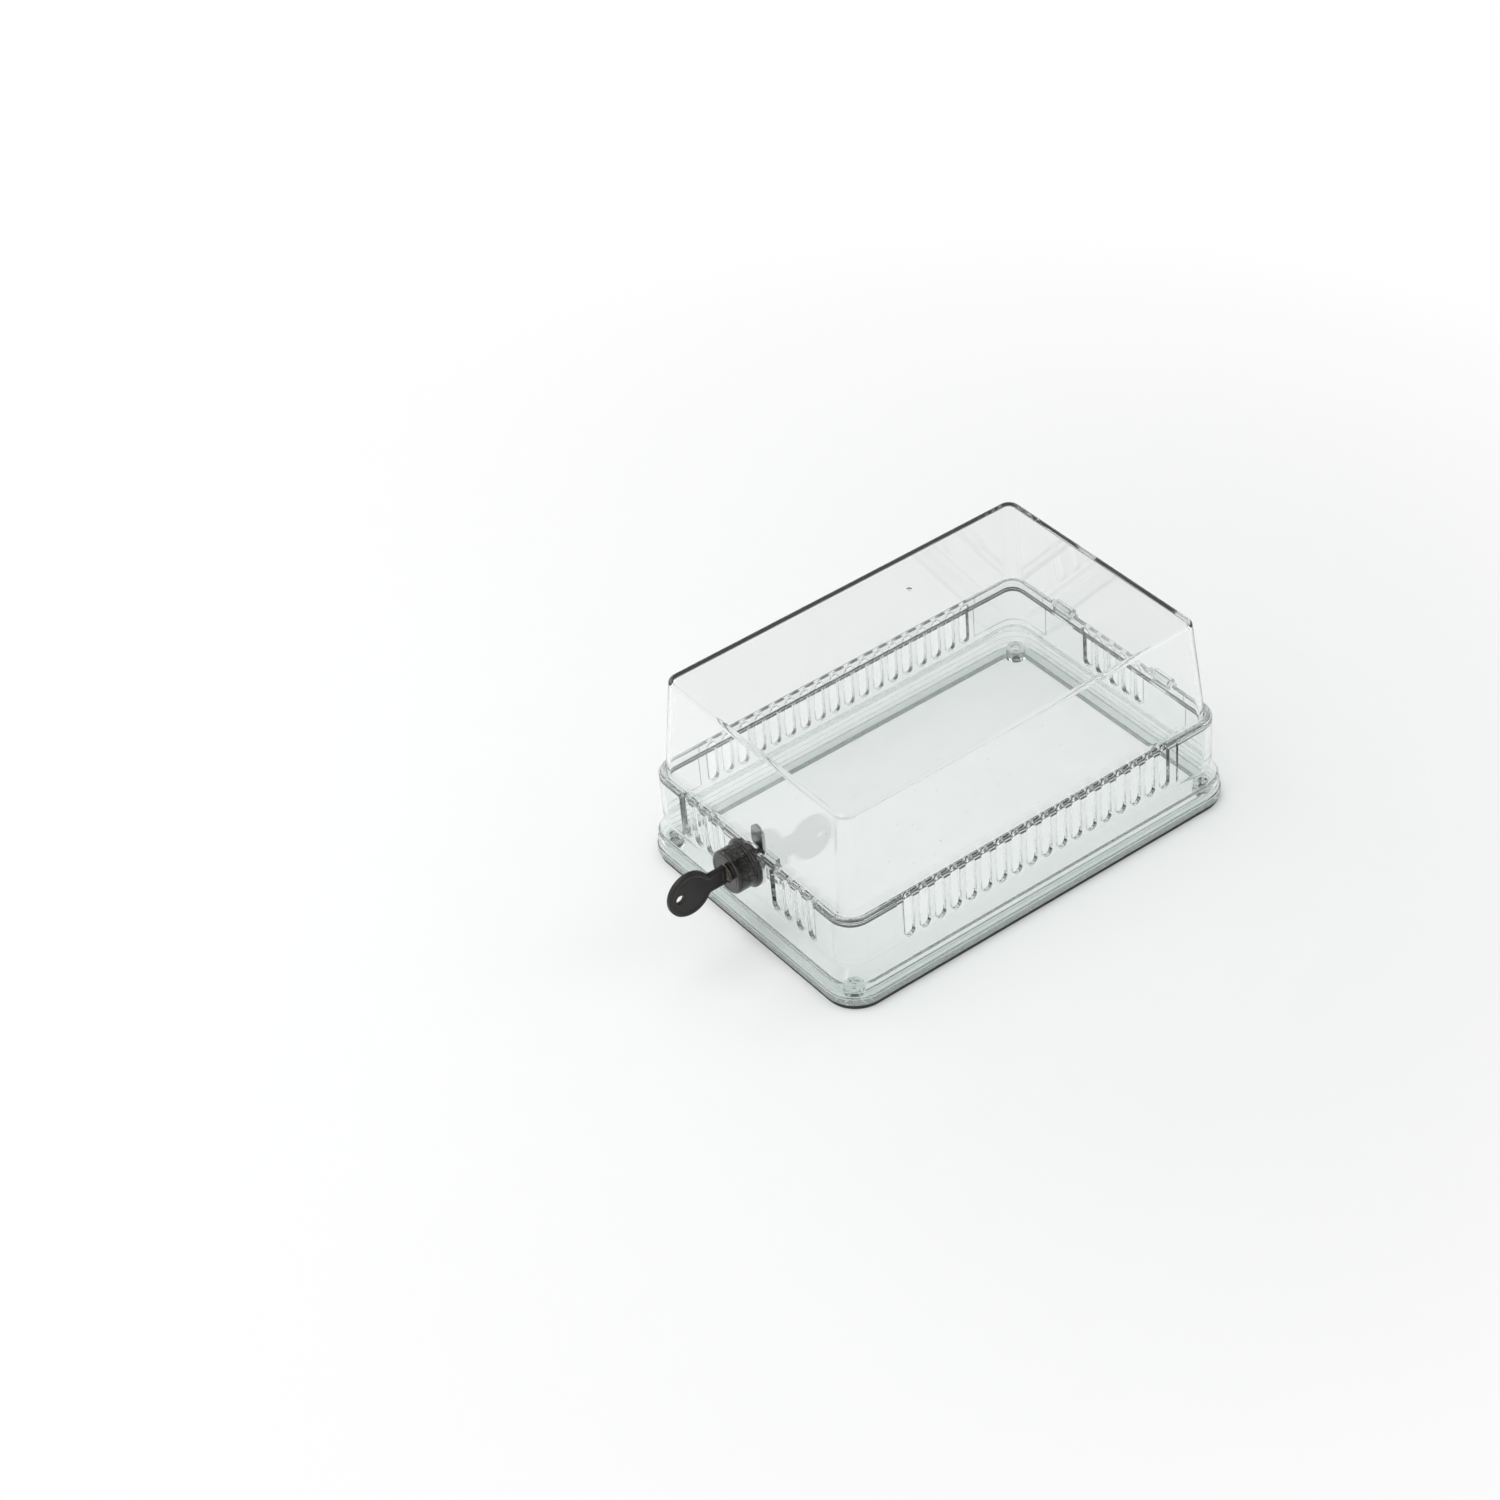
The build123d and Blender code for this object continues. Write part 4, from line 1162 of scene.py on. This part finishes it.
# %% [markdown]
# ## Pieces kept from the CAD model
# The wall plate, the plug, the cam, the wafers and the blade already have their right shapes. They
# only need finishes, and a small bevel, so that their edges don't end in a knife line.

# %% Finishes on the CAD pieces
cad_finishes = {"wall_plate": plate_white, "lock_plug": plug_black, "cam": zinc_steel,
                "key_blade": blade_nickel}
cad_finishes.update({f"wafer_{n}": wafer_brass for n in range(1, 6)})
for node, finish in cad_finishes.items():
    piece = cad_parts[node]
    piece.data.materials.clear()
    piece.data.materials.append(finish)
    weld = piece.modifiers.new("weld", "WELD")
    weld.merge_threshold = 1e-6
    edge = piece.modifiers.new("edge", "BEVEL")
    edge.width = 0.25 * MM if node == "wall_plate" else 0.08 * MM
    edge.segments = 2
    edge.limit_method, edge.angle_limit = "ANGLE", math.radians(40)
print("CAD pieces finished:", len(cad_finishes))

# %% [markdown]
# ## Floor
# The floor is pale and plain. Near the guard it is an ordinary matt surface, so it holds the
# guard's shadow. Far away it turns into pure white for camera, mirror and glass rays only, which
# hides the horizon without throwing extra light on the guard.

# %% Floor
FLOOR_DROP, FLOOR_STEPS, FLOOR_RINGS = 0.3, 96, (400, 1500, 9000)
around = [2 * math.pi * i / FLOOR_STEPS for i in range(FLOOR_STEPS)]
shape = bmesh.new()
rows = skin(shape, [[point(r * math.cos(a), r * math.sin(a), -FLOOR_DROP) for a in around]
                    for r in FLOOR_RINGS])
shape.faces.new(rows[0])
floor = to_object("floor", shape)
for face in floor.data.polygons:
    if face.normal.z < 0:
        face.flip()

floor_finish, tree, shader = start_finish("floor_pale", (0.90, 0.90, 0.89), Roughness=0.9,
                                          Specular_IOR_Level=0.0)
where = piece_place(tree)
mottle = noise(tree, where, 40.0, Detail=3.0)
feed(tree, shader.inputs["Base Color"],
     mix_color(tree, mottle, (0.945, 0.945, 0.94), (0.93, 0.93, 0.925)))
reach = add_node(tree, "ShaderNodeVectorMath", {"operation": "LENGTH"}, i0=where).outputs["Value"]
far = between(tree, reach, 0.22, 0.55)
paths = add_node(tree, "ShaderNodeLightPath").outputs
bent = math_node(tree, "MAXIMUM", paths["Is Glossy Ray"], paths["Is Transmission Ray"])
seen = math_node(tree, "MAXIMUM", paths["Is Camera Ray"], bent)
glow = add_node(tree, "ShaderNodeEmission", Color=(1, 1, 1, 1), Strength=1.0)
lit = add_node(tree, "ShaderNodeMixShader", Fac=math_node(tree, "MULTIPLY", far, seen),
               i1=shader.outputs[0], i2=glow.outputs[0])
below = add_node(tree, "ShaderNodeNewGeometry").outputs["Backfacing"]
clear = add_node(tree, "ShaderNodeBsdfTransparent")
show(tree, add_node(tree, "ShaderNodeMixShader", Fac=below, i1=lit.outputs[0],
                    i2=clear.outputs[0]))
floor.data.materials.append(floor_finish)
print("floor faces:", len(floor.data.polygons))

# %% [markdown]
# ## World
# Clear plastic shows what is around it. In an all-white room it would vanish, so photographers
# set dark cards beyond the white ones, which draw a dark line along every edge. The world does the
# same for mirror and glass rays: white near the horizon, dark overhead. The light that falls on
# the guard comes from a plain, even grey.

# %% World
WHITE = (1.0, 1.0, 1.0)
SEEN_IN_MIRRORS = [(0.0, WHITE), (0.70, WHITE), (0.78, (0.15, 0.15, 0.15)),
                   (1.0, (0.30, 0.30, 0.30))]
SEEN_THROUGH = [(0.0, WHITE), (0.03, WHITE), (0.15, (0.03, 0.03, 0.03)),
                (1.0, (0.05, 0.05, 0.045))]


def by_height(tree, height, levels):
    """A colour for each height. levels holds (height, colour) rows from the horizon up."""
    ramp = add_node(tree, "ShaderNodeValToRGB", Fac=height)
    stops = ramp.color_ramp.elements
    stops[0].position, stops[1].position = levels[0][0], levels[-1][0]
    for place, _ in levels[1:-1]:
        stops.new(place)
    for stop, (_, color) in zip(stops, levels):
        stop.color = (*color, 1)
    return ramp.outputs["Color"]


world = bpy.data.worlds.new("studio_room")
scene.world = world
world.use_nodes = True
tree = world.node_tree
tree.nodes.clear()
direction = add_node(tree, "ShaderNodeTexCoord").outputs["Generated"]
height = add_node(tree, "ShaderNodeSeparateXYZ", Vector=direction).outputs["Z"]
in_mirrors = by_height(tree, height, SEEN_IN_MIRRORS)
through_glass = by_height(tree, height, SEEN_THROUGH)
paths = add_node(tree, "ShaderNodeLightPath").outputs
room_color = mix_color(tree, paths["Is Glossy Ray"], (0.62, 0.625, 0.63), in_mirrors)
room_color = mix_color(tree, paths["Is Transmission Ray"], room_color, through_glass)
room_color = mix_color(tree, paths["Is Camera Ray"], room_color, WHITE)
background = add_node(tree, "ShaderNodeBackground", Color=room_color, Strength=1.0)
add_node(tree, "ShaderNodeOutputWorld", Surface=background.outputs[0])
print("world:", world.name)

# %% [markdown]
# ## Lamps
# Four soft lamps shape the guard. The main one is above and behind, so that the short shadow falls
# under the near edges. A weaker fill stands on the right, a strip behind lights the far walls, and
# a narrow strip on the lock's side draws its glints. They are hidden from the camera.

# %% Lamps
def soft_lamp(name, place, aim, size, power):
    """A flat lamp at place (metres) that faces aim."""
    light = bpy.data.lights.new(name, "AREA")
    light.shape, light.size, light.size_y = "RECTANGLE", size[0], size[1]
    light.energy = power
    lamp = bpy.data.objects.new(name, light)
    bpy.context.scene.collection.objects.link(lamp)
    facing = (Vector(aim) - Vector(place)).to_track_quat("-Z", "Y")
    lamp.matrix_world = Matrix.Translation(place) @ facing.to_matrix().to_4x4()
    lamp.visible_camera = False


GUARD_MIDDLE = (0.0, 0.0, 0.05)
soft_lamp("key_softbox", (-0.50, 0.30, 1.15), GUARD_MIDDLE, (0.9, 0.9), 5.2)
soft_lamp("fill_softbox", (0.95, -0.75, 0.75), GUARD_MIDDLE, (0.9, 0.7), 2.4)
soft_lamp("rim_strip", (-0.95, -0.35, 0.55), GUARD_MIDDLE, (0.25, 0.7), 0.8)
soft_lamp("back_strip", (-0.30, 1.0, 0.7), GUARD_MIDDLE, (0.9, 0.25), 1.6)
print("lamps: 4")

# %% [markdown]
# ## Finish
# Last, the view layer is brought up to date.

# %% Finish
bpy.context.view_layer.update()
